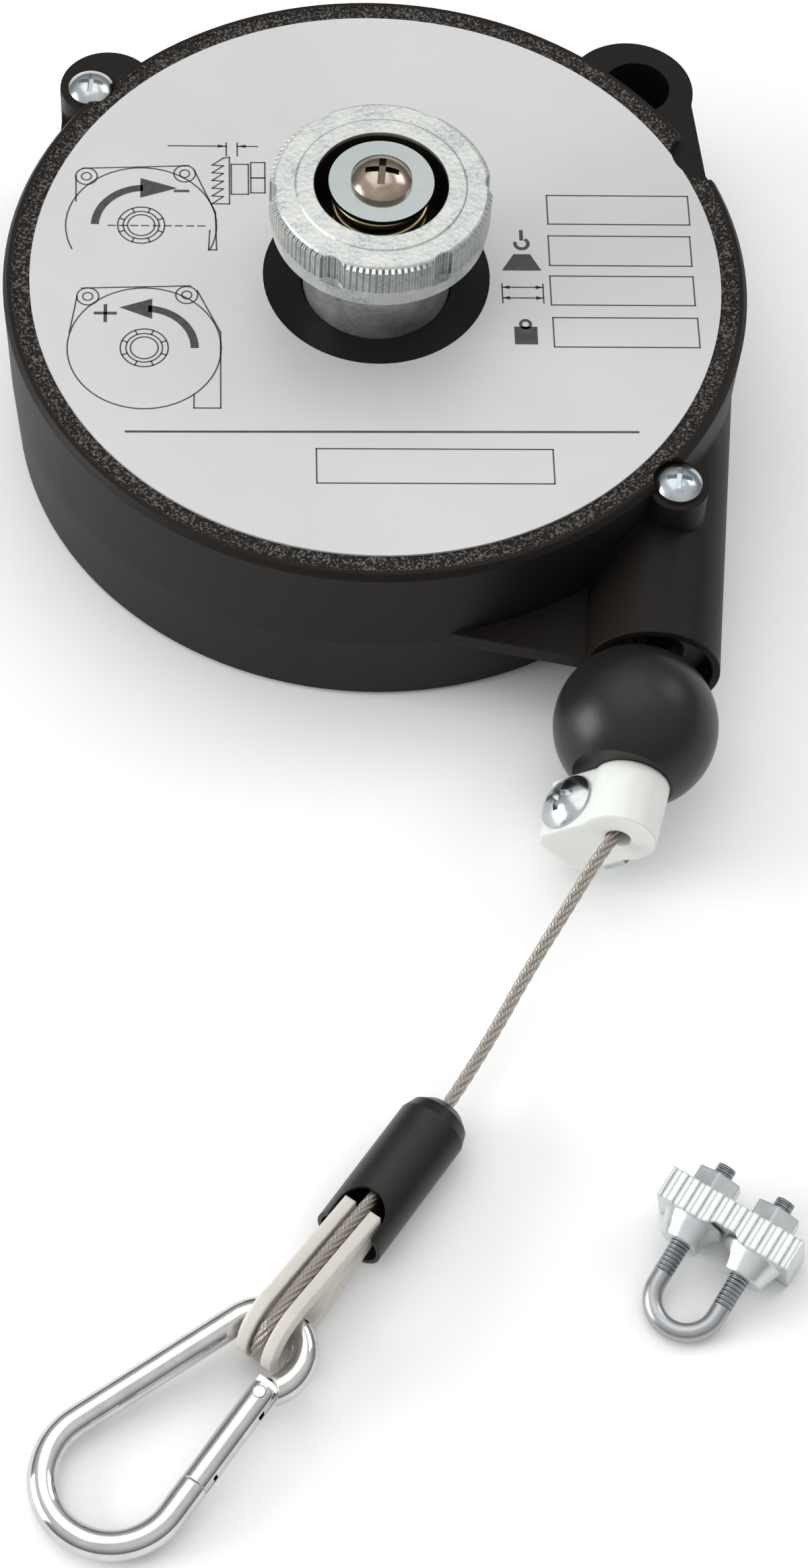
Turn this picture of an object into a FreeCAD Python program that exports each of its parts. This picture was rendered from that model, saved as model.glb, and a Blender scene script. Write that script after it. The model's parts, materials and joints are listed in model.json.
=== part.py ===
import FreeCAD, Part

# Tool balancer: a light spring balancer that carries a hand tool on a retracting wire rope.
#
# Frame: millimetres, +Z up out of the name plate, origin on the drum's axis at the casing's flat back.
# The rope leaves the neck towards -Y. The spring's load is set with the knob on top.

import math
import os

import Sketcher
from FreeCAD import Placement, Rotation, Vector

DOC = FreeCAD.newDocument("tool_balancer")

# Driving dimensions: name and value in millimetres, degrees or a plain count.
SIZES = {
    # casing
    "casing_radius": 60.0,
    "casing_draft": 0.5,
    "back_inset": 1.4,
    "back_chamfer": 1.0,
    "parting_height": 16.0,
    "casing_height": 34.0,
    "wall": 2.5,
    "top_wall": 3.0,
    "rim_step": 0.7,
    "bead_height": 0.3,
    "bead_width": 0.8,
    # name plate and the dish round the knob
    "rim_width": 4.3,
    "plate_thickness": 0.4,
    "dish_radius": 18.3,
    "dish_depth": 1.1,
    "notch_radius": 6.0,
    "notch_reach": 1.4,
    "notch_angle": 30.9,
    "notch_depth": 2.2,
    # neck that guides the rope out of the casing
    "neck_inset": 11.8,
    "neck_root_radius": 11.3,
    "neck_mouth_radius": 10.6,
    "neck_bore_radius": 8.4,
    "neck_start": 2.0,
    "mouth_depth": 2.5,
    "mouth_lip": 1.2,
    "neck_reach": 0.4,
    "gusset_tip_x": 13.8,
    "gusset_inset": 3.0,
    "gusset_thickness": 2.8,
    # lugs, bosses and case screws
    "eye_reach": 4.8,
    "eye_angle": 50.9,
    "eye_lug_reach": 3.6,
    "eye_lug_angle": 51.3,
    "eye_radius": 5.6,
    "eye_lug_radius": 10.7,
    "lug_base": 4.0,
    "lug_drop": 6.0,
    "ear_reach": 3.1,
    "ear_angle": 139.2,
    "ear_radius": 8.0,
    "screw_reach": 1.8,
    "screw_angle": 144.0,
    "boss_radius": 4.8,
    "boss_drop": 1.5,
    "screw_shank": 1.5,
    "screw_depth": 3.5,
    "screw_head_radius": 3.7,
    "screw_head_height": 2.4,
    # spindle and its bearing in the back
    "pivot_radius": 4.0,
    "pivot_boss_radius": 9.0,
    "pivot_boss_height": 3.3,
    "pivot_floor": 1.0,
    "spindle_radius": 6.0,
    "shoulder_gap": 0.4,
    "spindle_key": 9.0,
    "spindle_rise": 22.3,
    "running_gap": 0.05,
    "seat_gap": 0.1,
    # drum, its cover, its bush and the rope wound on it
    "rope_radius": 1.0,
    "flange_depth": 4.2,
    "wind_pitch": 2.08,
    "wind_turns": 6,
    "drum_base": 3.4,
    "drum_web": 2.0,
    "drum_wall": 2.7,
    "drum_gap": 8.5,
    "drum_flange": 1.1,
    "drum_drop": 1.0,
    "drum_cover": 1.6,
    "drum_hub_radius": 11.0,
    "drum_hub_top": 8.0,
    "bush_wall": 1.05,
    # flat spiral spring
    "strip_thickness": 0.5,
    "strip_base": 6.2,
    "strip_gap": 0.8,
    "strip_turns": 10,
    # detent: face teeth of the cover's well and of the knob
    "well_radius": 12.1,
    "well_wall": 2.4,
    "well_drop": 8.4,
    "well_floor_thickness": 2.0,
    "well_hole": 7.2,
    "tooth_count": 24,
    "tooth_height": 2.4,
    "tooth_inner": 8.3,
    "tooth_outer": 11.5,
    "tooth_gap": 0.25,
    "tooth_side_gap": 0.7,
    # knob
    "knob_neck_radius": 11.85,
    "knob_flange_radius": 17.2,
    "knob_grip_radius": 17.5,
    "knob_top_radius": 16.6,
    "flange_rise": 13.6,
    "grip_rise": 16.2,
    "top_rise": 22.2,
    "knob_recess_radius": 10.6,
    "recess_rise": 10.0,
    "knob_ring_radius": 13.3,
    "knob_ring_height": 0.3,
    "scallop_count": 6,
    "scallop_radius": 2.6,
    "scallop_depth": 1.1,
    "scallop_start": 8.0,
    # spring, washer and screw that hold the knob
    "coil_radius": 7.2,
    "coil_wire": 0.65,
    "coil_turns": 4,
    "washer_radius": 8.3,
    "washer_thickness": 0.8,
    "washer_bore": 2.7,
    "centre_head_radius": 4.8,
    "centre_head_height": 2.9,
    "centre_shank": 2.4,
    "centre_length": 14.0,
    # guide in the neck, ball and rope clamp
    "guide_inset": 4.0,
    "guide_length": 7.0,
    "guide_hole": 3.2,
    "guide_flare": 1.6,
    "ball_offset": 2.3,
    "ball_reach": 10.8,
    "ball_radius": 12.9,
    "ball_gap": 0.3,
    "clamp_start": 10.35,
    "ball_hole": 1.6,
    "clamp_length": 10.4,
    "clamp_radius": 5.95,
    "clamp_reach": 13.2,
    "clamp_half_width": 5.3,
    "clamp_hole": 2.0,
    "clamp_screw_reach": 7.5,
    "clamp_shank": 1.9,
    "clamp_head_radius": 4.7,
    "clamp_head_height": 2.5,
    "clamp_nut": 3.5,
    "clamp_nut_height": 2.8,
    # end of the rope: sleeve, ferrule and thimble
    "sleeve_radius": 5.45,
    "sleeve_bore": 4.8,
    "sleeve_length": 25.5,
    "sleeve_notch": 3.7,
    "ferrule_start": 14.0,
    "crimp_gap": 0.3,
    "ferrule_length": 8.0,
    "ferrule_half_height": 3.4,
    "ferrule_half_width": 2.3,
    "thimble_bore": 4.0,
    "thimble_groove": 4.6,
    "thimble_rim": 6.6,
    "thimble_half_width": 3.1,
    "thimble_slot": 1.3,
    "thimble_lip": 3.6,
    "thimble_leg": 23.0,
    "thimble_end": 20.5,
    "thimble_exit": 6.0,
    "thimble_slope": 10.3,
    # snap hook
    "hook_wire": 2.25,
    "hook_big_radius": 10.1,
    "hook_small_radius": 6.2,
    "hook_centres": 27.6,
    "gate_pivot_u": 23.1,
    "gate_pivot_v": -5.0,
    "gate_nose": 7.4,
    "gate_radius": 2.2,
    "gate_slot": 1.0,
    "tongue_half": 0.85,
    "rivet_radius": 0.9,
    # rope clip
    "clip_wire": 1.45,
    "clip_leg_spacing": 10.0,
    "clip_leg": 20.0,
    "saddle_length": 22.0,
    "saddle_width": 10.6,
    "saddle_height": 8.6,
    "saddle_base": 6.6,
    "saddle_foot": 3.4,
    "saddle_ribs": 11,
    "clip_nut": 3.3,
    "clip_nut_height": 2.9,
}


class Size:
    """A number from the sheet together with the expression that gives it."""

    def __init__(self, value, text):
        self.value = float(value)
        self.text = text

    def __float__(self):
        return self.value

    def __add__(self, other):
        return combine(self, other, "+", self.value + float(other))

    def __radd__(self, other):
        return combine(other, self, "+", float(other) + self.value)

    def __sub__(self, other):
        return combine(self, other, "-", self.value - float(other))

    def __rsub__(self, other):
        return combine(other, self, "-", float(other) - self.value)

    def __mul__(self, other):
        return combine(self, other, "*", self.value * float(other))

    def __rmul__(self, other):
        return combine(other, self, "*", float(other) * self.value)

    def __truediv__(self, other):
        return combine(self, other, "/", self.value / float(other))

    def __rtruediv__(self, other):
        return combine(other, self, "/", float(other) / self.value)

    def __neg__(self):
        return combine(-1, self, "*", -self.value)


def text_of(value):
    """The expression of a size, or a plain number written out."""
    return value.text if isinstance(value, Size) else repr(float(value))


def combine(left, right, sign, value):
    return Size(value, f"({text_of(left)} {sign} {text_of(right)})")


def cosine(angle):
    return Size(math.cos(math.radians(float(angle))), f"cos({text_of(angle)})")


def sine(angle):
    return Size(math.sin(math.radians(float(angle))), f"sin({text_of(angle)})")


class Sheet:
    """The document's spreadsheet, read as attributes: sheet.wall is the size called wall."""

    def __init__(self, sizes):
        self.cells = DOC.addObject("Spreadsheet::Sheet", "Sizes")
        for row, (name, value) in enumerate(sizes.items(), start=1):
            self.cells.set(f"A{row}", name)
            self.cells.set(f"B{row}", str(value))
            self.cells.setAlias(f"B{row}", name)
            setattr(self, name, Size(value, f"Sizes.{name}"))


sheet = Sheet(SIZES)
DOC.recompute()
NODES = []


def derive(s):
    """Places and sizes that follow the casing, each with its own clearance."""
    s.back_radius = s.casing_radius - s.back_inset
    s.side_radius = s.casing_radius - s.casing_draft
    s.plate_radius = s.casing_radius - s.rim_width
    s.notch_distance = s.casing_radius + s.notch_reach
    s.neck_x = s.casing_radius - s.neck_inset
    s.neck_end = s.casing_radius + s.neck_reach
    s.gusset_tip_y = s.casing_radius - s.gusset_inset
    s.eye_distance = s.casing_radius + s.eye_reach
    s.eye_lug_distance = s.casing_radius + s.eye_lug_reach
    s.ear_distance = s.casing_radius + s.ear_reach
    s.screw_distance = s.casing_radius + s.screw_reach
    s.lug_height = s.casing_height - s.lug_drop
    s.boss_height = s.casing_height - s.boss_drop
    s.well_floor = s.casing_height - s.well_drop
    s.well_top = s.well_floor + s.well_floor_thickness
    s.spindle_shoulder = s.well_floor - s.shoulder_gap
    s.spindle_top = s.casing_height + s.spindle_rise
    s.drum_top = s.well_floor - s.drum_drop
    s.drum_flange_radius = s.casing_radius - s.drum_gap
    s.wind_radius = s.drum_flange_radius - s.flange_depth
    wind_height = s.wind_pitch * (s.wind_turns - 1)
    s.wind_top = s.drum_base + s.drum_flange + s.seat_gap + s.rope_radius + wind_height
    s.strip_width = s.drum_top - s.drum_cover - s.strip_gap - s.strip_base
    s.knob_flange_base = s.casing_height + s.flange_rise
    s.knob_grip_base = s.casing_height + s.grip_rise
    s.knob_top = s.casing_height + s.top_rise
    s.knob_recess_floor = s.casing_height + s.recess_rise
    s.guide_end = s.neck_end - s.guide_inset
    s.ball_x = s.neck_x - s.ball_offset
    s.ball_y = -s.neck_end - s.ball_reach


derive(sheet)


def node(shape, name):
    """Mark an object as a piece of the product: its label names its file."""
    shape.Label = name
    NODES.append(shape)
    return shape


def bind(target, **sizes):
    """Tie properties to the sheet. A double underscore in a name stands for a dot."""
    for name, size in sizes.items():
        target.setExpression(name.replace("__", "."), text_of(size))
    return target


def place(target, x=0, y=0, z=0):
    """Tie a position to the sheet; a piece that stays at the origin keeps a free placement."""
    if not any(isinstance(size, Size) or size for size in (x, y, z)):
        return target
    return bind(target, Placement__Base__x=x, Placement__Base__y=y, Placement__Base__z=z)


# ---------------------------------------------------------------- building blocks


def cylinder(name, radius, height, x=0, y=0, z=0):
    return place(bind(DOC.addObject("Part::Cylinder", name), Radius=radius, Height=height), x, y, z)


def rod_along_y(name, radius, length, x, y, z, end_radius=None):
    """A cylinder, or a cone, that runs from (x, y, z) towards -Y."""
    if end_radius is None:
        rod = bind(DOC.addObject("Part::Cylinder", name), Radius=radius, Height=length)
    else:
        rod = DOC.addObject("Part::Cone", name)
        bind(rod, Radius1=radius, Radius2=end_radius, Height=length)
    rod.Placement.Rotation = Rotation(Vector(1, 0, 0), 90)
    return place(rod, x, y, z)


def hexagon(name, flat_radius, height, x=0, y=0, z=0):
    """A six-sided prism whose flats lie flat_radius from its axis."""
    prism = DOC.addObject("Part::Prism", name)
    prism.Polygon = 6
    bind(prism, Circumradius=flat_radius / cosine(30), Height=height)
    return place(prism, x, y, z)


def box(name, length, width, height, x=0, y=0, z=0):
    block = bind(DOC.addObject("Part::Box", name), Length=length, Width=width, Height=height)
    return place(block, x, y, z)


def fuse(name, *shapes):
    joined = DOC.addObject("Part::MultiFuse", name)
    joined.Shapes = list(shapes)
    return joined


def cut(name, base, *tools):
    left = DOC.addObject("Part::Cut", name)
    left.Base = base
    left.Tool = tools[0] if len(tools) == 1 else fuse(name + "_tools", *tools)
    return left


def common(name, *shapes):
    shared = DOC.addObject("Part::MultiCommon", name)
    shared.Shapes = list(shapes)
    return shared


def profile_sketch(body, role, points):
    """A closed outline on one of the body's planes, each corner tied to the sheet."""
    sketch = body.newObject("Sketcher::SketchObject", body.Name + "_sketch")
    plane = next(item for item in body.Origin.OriginFeatures if item.Role == role)
    sketch.AttachmentSupport = [(plane, "")]
    sketch.MapMode = "FlatFace"
    corners = [Vector(float(x), float(y), 0) for x, y in points]
    count = len(corners)
    for index, corner in enumerate(corners):
        sketch.addGeometry(Part.LineSegment(corner, corners[(index + 1) % count]), False)
    for index in range(count):
        sketch.addConstraint(Sketcher.Constraint("Coincident", index, 2, (index + 1) % count, 1))
    for index, (x, y) in enumerate(points):
        for kind, size in (("DistanceX", x), ("DistanceY", y)):
            number = sketch.addConstraint(Sketcher.Constraint(kind, index, 1, float(size)))
            if isinstance(size, Size):
                sketch.setExpression(f"Constraints[{number}]", size.text)
    return sketch


def revolved(name, points, angle=360):
    """A body turned about Z from an outline of (radius, height) corners."""
    body = DOC.addObject("PartDesign::Body", name)
    turn = body.newObject("PartDesign::Revolution", name + "_turn")
    turn.Profile = profile_sketch(body, "XZ_Plane", points)
    turn.ReferenceAxis = (turn.Profile[0], ["V_Axis"])
    bind(turn, Angle=angle)
    return body


def extruded(name, points, height, z=0):
    """A body padded along Z from an outline of (x, y) corners."""
    body = DOC.addObject("PartDesign::Body", name)
    pad = body.newObject("PartDesign::Pad", name + "_pad")
    pad.Profile = profile_sketch(body, "XY_Plane", points)
    bind(pad, Length=height)
    return place(body, 0, 0, z)


def feature(name, shape, placement=None):
    """A free shape that neither sketches nor primitives fit."""
    item = DOC.addObject("Part::Feature", name)
    item.Shape = shape
    if placement is not None:
        item.Placement = placement
    return item


def rounded_path(points, share=0.45):
    """Straight runs joined by tangent arcs, each as large as its two runs allow."""
    edges = []
    radii = []
    start = points[0]
    for before, corner, after in zip(points, points[1:], points[2:]):
        back, ahead = before - corner, after - corner
        half_turn = (math.pi - back.getAngle(ahead)) / 2
        reach = share * min(back.Length, ahead.Length)
        radii.append(reach / math.tan(half_turn))
        first = corner + back.normalize() * reach
        last = corner + ahead.normalize() * reach
        drop = radii[-1] * (1 / math.cos(half_turn) - 1)
        middle = corner + (back + ahead).normalize() * drop
        edges.append(Part.LineSegment(start, first).toShape())
        edges.append(Part.Arc(first, middle, last).toShape())
        start = last
    edges.append(Part.LineSegment(start, points[-1]).toShape())
    return Part.Wire(edges), radii


def tube(wire, radius):
    """A solid round bar along a wire."""
    first = wire.OrderedEdges[0]
    start = first.valueAt(first.FirstParameter)
    section = Part.Wire(Part.makeCircle(radius, start, first.tangentAt(first.FirstParameter)))
    return wire.makePipeShell([section], True, False)


def pan_screw(name, head_radius, head_height, shank_radius, shank_length):
    """A cross-recessed pan-head screw that points down, its head resting on z = 0."""
    crown = bind(DOC.addObject("Part::Sphere", name + "_crown"), Radius=head_radius * 1.35)
    place(crown, 0, 0, head_height - head_radius * 1.35)
    head = common(name + "_head", cylinder(name + "_disc", head_radius, head_height), crown)
    shank = cylinder(name + "_shank", shank_radius, shank_length + 0.5, 0, 0, -shank_length)
    solid = fuse(name + "_solid", head, shank)
    arm, width, depth = head_radius * 1.1, head_radius * 0.22, head_height * 0.5
    slots = [
        box(name + "_slot_x", arm, width, depth * 2, -arm / 2, -width / 2, head_height - depth),
        box(name + "_slot_y", width, arm, depth * 2, -width / 2, -arm / 2, head_height - depth),
    ]
    return cut(name, solid, *slots)


def polar(distance, angle):
    return distance * cosine(angle), distance * sine(angle)


def point(x, y, z):
    return Vector(float(x), float(y), float(z))


def frame(origin, x_axis, z_hint):
    """A placement whose X runs along x_axis and whose Z leans towards z_hint."""
    x_unit = Vector(x_axis).normalize()
    y_unit = Vector(z_hint).cross(x_unit).normalize()
    z_unit = x_unit.cross(y_unit)
    return Placement(origin, Rotation(x_unit, y_unit, z_unit, "XZY"))


# ---------------------------------------------------------------- casing


def tooth_ring(name, base, heights, top):
    """Saw teeth on a ring: every tooth climbs from heights[0] to heights[1] above base."""
    pitch = 360.0 / int(float(sheet.tooth_count))
    side = float(sheet.tooth_side_gap) / 2
    low, high = (base + rise for rise in heights)
    teeth = []
    for index in range(int(float(sheet.tooth_count))):
        start = math.radians(index * pitch + side)
        end = math.radians((index + 1) * pitch - side)
        wires = []
        for radius in (float(sheet.tooth_inner), float(sheet.tooth_outer)):
            corners = [
                Vector(radius * math.cos(turn), radius * math.sin(turn), height)
                for turn, height in ((start, low), (end, high), (end, top), (start, top))
            ]
            wires.append(Part.makePolygon(corners + corners[:1]))
        teeth.append(Part.makeLoft(wires, True, True))
    return feature(name, Part.makeCompound(teeth))


def casing_outside():
    """The closed outer form of both halves: can, neck, gusset, lugs and screw bosses."""
    s = sheet
    bead_in = s.casing_radius - s.rim_step - s.bead_width
    can = revolved("can_form", [
        (0, 0),
        (s.back_radius - s.back_chamfer, 0),
        (s.back_radius, s.back_chamfer),
        (s.side_radius, s.parting_height),
        (s.casing_radius, s.casing_height - s.rim_step),
        (s.casing_radius - s.rim_step, s.casing_height + s.bead_height),
        (bead_in, s.casing_height + s.bead_height),
        (bead_in - s.bead_height, s.casing_height),
        (0, s.casing_height),
    ])
    neck = rod_along_y("neck_form", s.neck_root_radius, s.neck_end - s.neck_start,
                       s.neck_x, -s.neck_start, s.parting_height, s.neck_mouth_radius)
    inner_x = s.neck_x - s.neck_bore_radius
    gusset = extruded("gusset_form", [
        (s.gusset_tip_x, -s.gusset_tip_y),
        (inner_x, -s.neck_end),
        (inner_x, -s.gusset_tip_y * 0.7),
        (s.gusset_tip_x, -s.gusset_tip_y * 0.85),
    ], s.gusset_thickness, s.parting_height - s.gusset_thickness / 2)
    lug_rise = s.lug_height - s.lug_base
    lug_x, lug_y = polar(s.eye_lug_distance, s.eye_lug_angle)
    eye = cylinder("eye_form", s.eye_lug_radius, lug_rise, lug_x, lug_y, s.lug_base)
    eye_web = extruded("eye_web_form", [
        (lug_x + s.eye_lug_radius * 0.98, lug_y - s.eye_lug_radius * 0.2),
        (s.casing_radius * 0.89, s.casing_radius * 0.5),
        (s.casing_radius * 0.7, s.casing_radius * 0.55),
        (lug_x, lug_y),
    ], lug_rise, s.lug_base)
    ear_x, ear_y = polar(s.ear_distance, s.ear_angle)
    ear = cylinder("ear_form", s.ear_radius, lug_rise, ear_x, ear_y, s.lug_base)
    left_x, left_y = polar(s.screw_distance, s.screw_angle)
    ear_web = extruded("ear_web_form", [
        (left_x - s.boss_radius, left_y),
        (left_x + s.boss_radius, left_y),
        (-s.casing_radius * 0.8, s.casing_radius * 0.45),
        (-s.casing_radius * 0.905, s.casing_radius * 0.4),
    ], lug_rise, s.lug_base)
    left_boss = cylinder("left_boss_form", s.boss_radius, s.boss_height - s.lug_base,
                         left_x, left_y, s.lug_base)
    right_boss = cylinder("right_boss_form", s.boss_radius, s.boss_height - s.lug_base,
                          -left_x, -left_y, s.lug_base)
    return fuse("casing_form", can, neck, gusset, eye, eye_web, ear, ear_web, left_boss, right_boss)


def casing_inside():
    """What both halves lack: the drum chamber, the neck's bore, the eye and the screw holes."""
    s = sheet
    chamber = revolved("chamber", [
        (0, s.wall),
        (s.back_radius - s.wall, s.wall),
        (s.side_radius - s.wall, s.parting_height),
        (s.side_radius - s.wall, s.casing_height - s.top_wall),
        (0, s.casing_height - s.top_wall),
    ])
    bore_start = s.neck_x * 0.55
    bore = rod_along_y("neck_bore", s.neck_bore_radius, s.neck_end - bore_start + 1,
                       s.neck_x, -bore_start, s.parting_height)
    flare = rod_along_y("neck_flare", s.neck_bore_radius, s.mouth_depth, s.neck_x,
                        s.mouth_depth - s.neck_end, s.parting_height,
                        s.neck_mouth_radius - s.mouth_lip)
    eye_x, eye_y = polar(s.eye_distance, s.eye_angle)
    eye_hole = cylinder("eye_hole", s.eye_radius, s.lug_height - s.lug_base + 1, eye_x, eye_y,
                        s.lug_base - 0.5)
    ball_seat = place(bind(DOC.addObject("Part::Sphere", "ball_seat"), Radius=s.ball_radius + s.ball_gap),
                      s.ball_x, s.ball_y, s.parting_height)
    left_x, left_y = polar(s.screw_distance, s.screw_angle)
    shank = s.screw_shank + s.seat_gap
    holes = [
        cylinder("left_screw_hole", shank, s.casing_height, left_x, left_y, s.screw_depth - s.seat_gap),
        cylinder("right_screw_hole", shank, s.casing_height, -left_x, -left_y,
                 s.screw_depth - s.seat_gap),
        cylinder("left_head_seat", s.screw_head_radius + 0.4, s.casing_height,
                 left_x, left_y, s.boss_height),
        cylinder("right_head_seat", s.screw_head_radius + 0.4, s.casing_height,
                 -left_x, -left_y, s.boss_height),
    ]
    return fuse("casing_hollow", chamber, bore, flare, eye_hole, ball_seat, *holes)


def casing():
    """The two plastic halves, split at the parting height."""
    s = sheet
    span = s.casing_radius * 4
    shell = cut("casing_shell", casing_outside(), casing_inside())
    below = box("below_parting", span, span, s.parting_height + 10, -span / 2, -span / 2, -10)
    above = box("above_parting", span, span, s.parting_height + 60, -span / 2, -span / 2,
                s.parting_height)
    pivot = revolved("pivot_boss", [
        (s.pivot_radius + s.running_gap, s.pivot_floor),
        (s.pivot_boss_radius, s.pivot_floor),
        (s.pivot_boss_radius, s.pivot_boss_height),
        (s.pivot_radius + s.running_gap, s.pivot_boss_height),
    ])
    blind = cylinder("pivot_blind", s.pivot_radius + s.running_gap, s.casing_height, 0, 0, s.pivot_floor)
    back_half = fuse("back_half", common("back_shell", shell, below), pivot)
    node(cut("rear_case_cut", back_half, blind), "rear_case")

    teeth = tooth_ring("cover_teeth", float(s.well_top), (0.0, float(s.tooth_height)),
                       float(s.well_floor) + 0.5)
    wall_top = s.casing_height - s.top_wall + 0.5
    well = revolved("well_form", [
        (s.well_hole, s.well_floor),
        (s.well_radius + s.well_wall, s.well_floor),
        (s.well_radius + s.well_wall, wall_top),
        (s.well_radius, wall_top),
        (s.well_radius, s.well_top),
        (s.well_hole, s.well_top),
    ])
    well_hole = cylinder("well_opening", s.well_radius, s.casing_height, 0, 0,
                         s.well_top + s.tooth_height)
    dish = revolved("dish_cut", [
        (0, s.casing_height - s.dish_depth),
        (s.well_radius, s.casing_height - s.dish_depth),
        (s.dish_radius, s.casing_height),
        (s.dish_radius, s.casing_height + 5),
        (0, s.casing_height + 5),
    ])
    notch_x, notch_y = polar(s.notch_distance, s.notch_angle)
    notch = cylinder("rim_notch", s.notch_radius, s.casing_height, notch_x, notch_y,
                     s.casing_height - s.notch_depth)
    cover = cut("front_shell", common("front_half", shell, above), well_hole, dish, notch)
    node(fuse("front_case_fuse", cover, well, teeth), "front_case")


def name_plate():
    s = sheet
    disc = cylinder("plate_disc", s.plate_radius, s.plate_thickness, 0, 0, s.casing_height)
    hole = cylinder("plate_hole", s.dish_radius, 10, 0, 0, s.casing_height - 5)
    notch_x, notch_y = polar(s.notch_distance, s.notch_angle)
    notch = cylinder("plate_notch", s.notch_radius, 10, notch_x, notch_y, s.casing_height - 5)
    node(cut("plate_cut", disc, hole, notch), "name_plate")


def case_screws():
    """The two screws that hold the halves together, one node of two solids."""
    s = sheet
    left_x, left_y = polar(s.screw_distance, s.screw_angle)
    screws = []
    for name, x, y in (("left_screw", left_x, left_y), ("right_screw", -left_x, -left_y)):
        screw = pan_screw(name, s.screw_head_radius, s.screw_head_height, s.screw_shank,
                          s.boss_height - s.screw_depth)
        screws.append(place(screw, x, y, s.boss_height))
    group = DOC.addObject("Part::Compound", "case_screw_pair")
    group.Links = screws
    node(group, "case_screws")


# ---------------------------------------------------------------- drum and spring


def drum():
    s = sheet
    floor = s.wind_radius - s.rope_radius
    barrel = floor - s.drum_wall
    low = s.drum_base + s.drum_flange
    high = s.wind_top + s.rope_radius + s.seat_gap
    hub_bore = s.spindle_radius + s.running_gap + s.bush_wall
    node(revolved("drum_turned", [
        (hub_bore, s.drum_base),
        (s.drum_flange_radius, s.drum_base),
        (s.drum_flange_radius, low),
        (floor, low),
        (floor, high),
        (s.drum_flange_radius, high),
        (s.drum_flange_radius, high + s.drum_flange),
        (floor, high + s.drum_flange),
        (floor, s.drum_top),
        (barrel + s.drum_wall / 2, s.drum_top),
        (barrel + s.drum_wall / 2, s.drum_top - s.drum_cover),
        (barrel, s.drum_top - s.drum_cover),
        (barrel, s.drum_base + s.drum_web),
        (s.drum_hub_radius, s.drum_base + s.drum_web),
        (s.drum_hub_radius, s.drum_hub_top - s.drum_web),
        (hub_bore, s.drum_hub_top - s.drum_web),
    ]), "drum")
    node(revolved("bush_turned", [
        (s.spindle_radius + s.running_gap, s.drum_base),
        (hub_bore, s.drum_base),
        (hub_bore, s.drum_hub_top - s.drum_web),
        (s.spindle_radius + s.running_gap, s.drum_hub_top - s.drum_web),
    ]), "drum_bush")
    node(revolved("drum_cover_turned", [
        (s.spindle_radius + s.running_gap, s.drum_top - s.drum_cover),
        (barrel + s.drum_wall / 2 - s.running_gap, s.drum_top - s.drum_cover),
        (barrel + s.drum_wall / 2 - s.running_gap, s.drum_top),
        (s.spindle_radius + s.running_gap, s.drum_top),
    ]), "drum_cover")


def wound_rope():
    """The rope stored on the drum: turns lying side by side, each outlined by four corners."""
    s = sheet
    inner = s.wind_radius - s.rope_radius
    outline = []
    turns = int(float(s.wind_turns))
    for index in range(turns):
        middle = s.wind_top - s.wind_pitch * index
        for angle in (67.5, 22.5, -22.5, -67.5):
            outline.append((s.wind_radius + s.rope_radius * cosine(angle),
                            middle + s.rope_radius * sine(angle)))
    outline.append((inner, s.wind_top - s.wind_pitch * (turns - 1) - s.rope_radius * 0.9))
    outline.append((inner, s.wind_top + s.rope_radius * 0.9))
    node(revolved("rope_turns_turned", outline), "rope_turns")


def spiral_spring():
    """A flat strip wound from the drum's wall to the spindle, drawn as half-turn arcs."""
    s = sheet
    outer = float(s.wind_radius - s.rope_radius - s.drum_wall) - 1.0
    inner = float(s.spindle_radius) + 1.2
    halves = 2 * int(float(s.strip_turns))
    step = (outer - inner) / halves
    edges = {side: [] for side in (-1, 1)}
    for index in range(halves):
        radius = outer - index * step
        centre = Vector(-step if index % 2 else 0.0, 0, 0)
        sense = -1 if index % 2 else 1
        for side in (-1, 1):
            reach = radius + side * float(s.strip_thickness) / 2
            points = [centre + Vector(reach * x * sense, reach * y * sense, 0)
                      for x, y in ((1, 0), (0, 1), (-1, 0))]
            edges[side].append(Part.Arc(*points).toShape())
    ends = []
    for index, vertex in ((0, 0), (-1, 1)):
        pair = [edges[side][index].Vertexes[vertex].Point for side in (-1, 1)]
        ends.append(Part.LineSegment(*pair).toShape())
    outline = Part.Wire(Part.__sortEdges__(edges[-1] + edges[1] + ends))
    strip = Part.Face(outline).extrude(Vector(0, 0, float(s.strip_width)))
    thick, root = float(s.strip_thickness), float(s.spindle_radius) * 0.35
    tongue = Part.makeBox(inner + thick / 2 - root, thick, float(s.strip_width),
                          Vector(root, -thick / 2, 0))
    strip = strip.fuse(tongue).removeSplitter()
    node(feature("strip", strip, Placement(Vector(0, 0, float(s.strip_base)), Rotation())),
         "spiral_spring")


def spindle():
    s = sheet
    pivot = cylinder("spindle_pivot", s.pivot_radius, s.drum_base - s.pivot_floor,
                     0, 0, s.pivot_floor + s.seat_gap)
    arbor = cylinder("spindle_arbor", s.spindle_radius, s.spindle_shoulder - s.drum_base,
                     0, 0, s.drum_base)
    key = hexagon("spindle_hex", s.spindle_key / 2, s.spindle_top - s.spindle_shoulder,
                  0, 0, s.spindle_shoulder)
    slot = box("spindle_slot", s.spindle_radius * 1.2, s.strip_thickness * 3, s.strip_width,
               0, -s.strip_thickness * 1.5, s.strip_base)
    thread = cylinder("spindle_thread", s.centre_shank + s.seat_gap, s.centre_length + 1,
                      0, 0, s.spindle_top - s.centre_length - 1 + s.washer_thickness)
    node(cut("spindle_cut", fuse("spindle_form", pivot, arbor, key), slot, thread), "spindle")


# ---------------------------------------------------------------- knob


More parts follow.
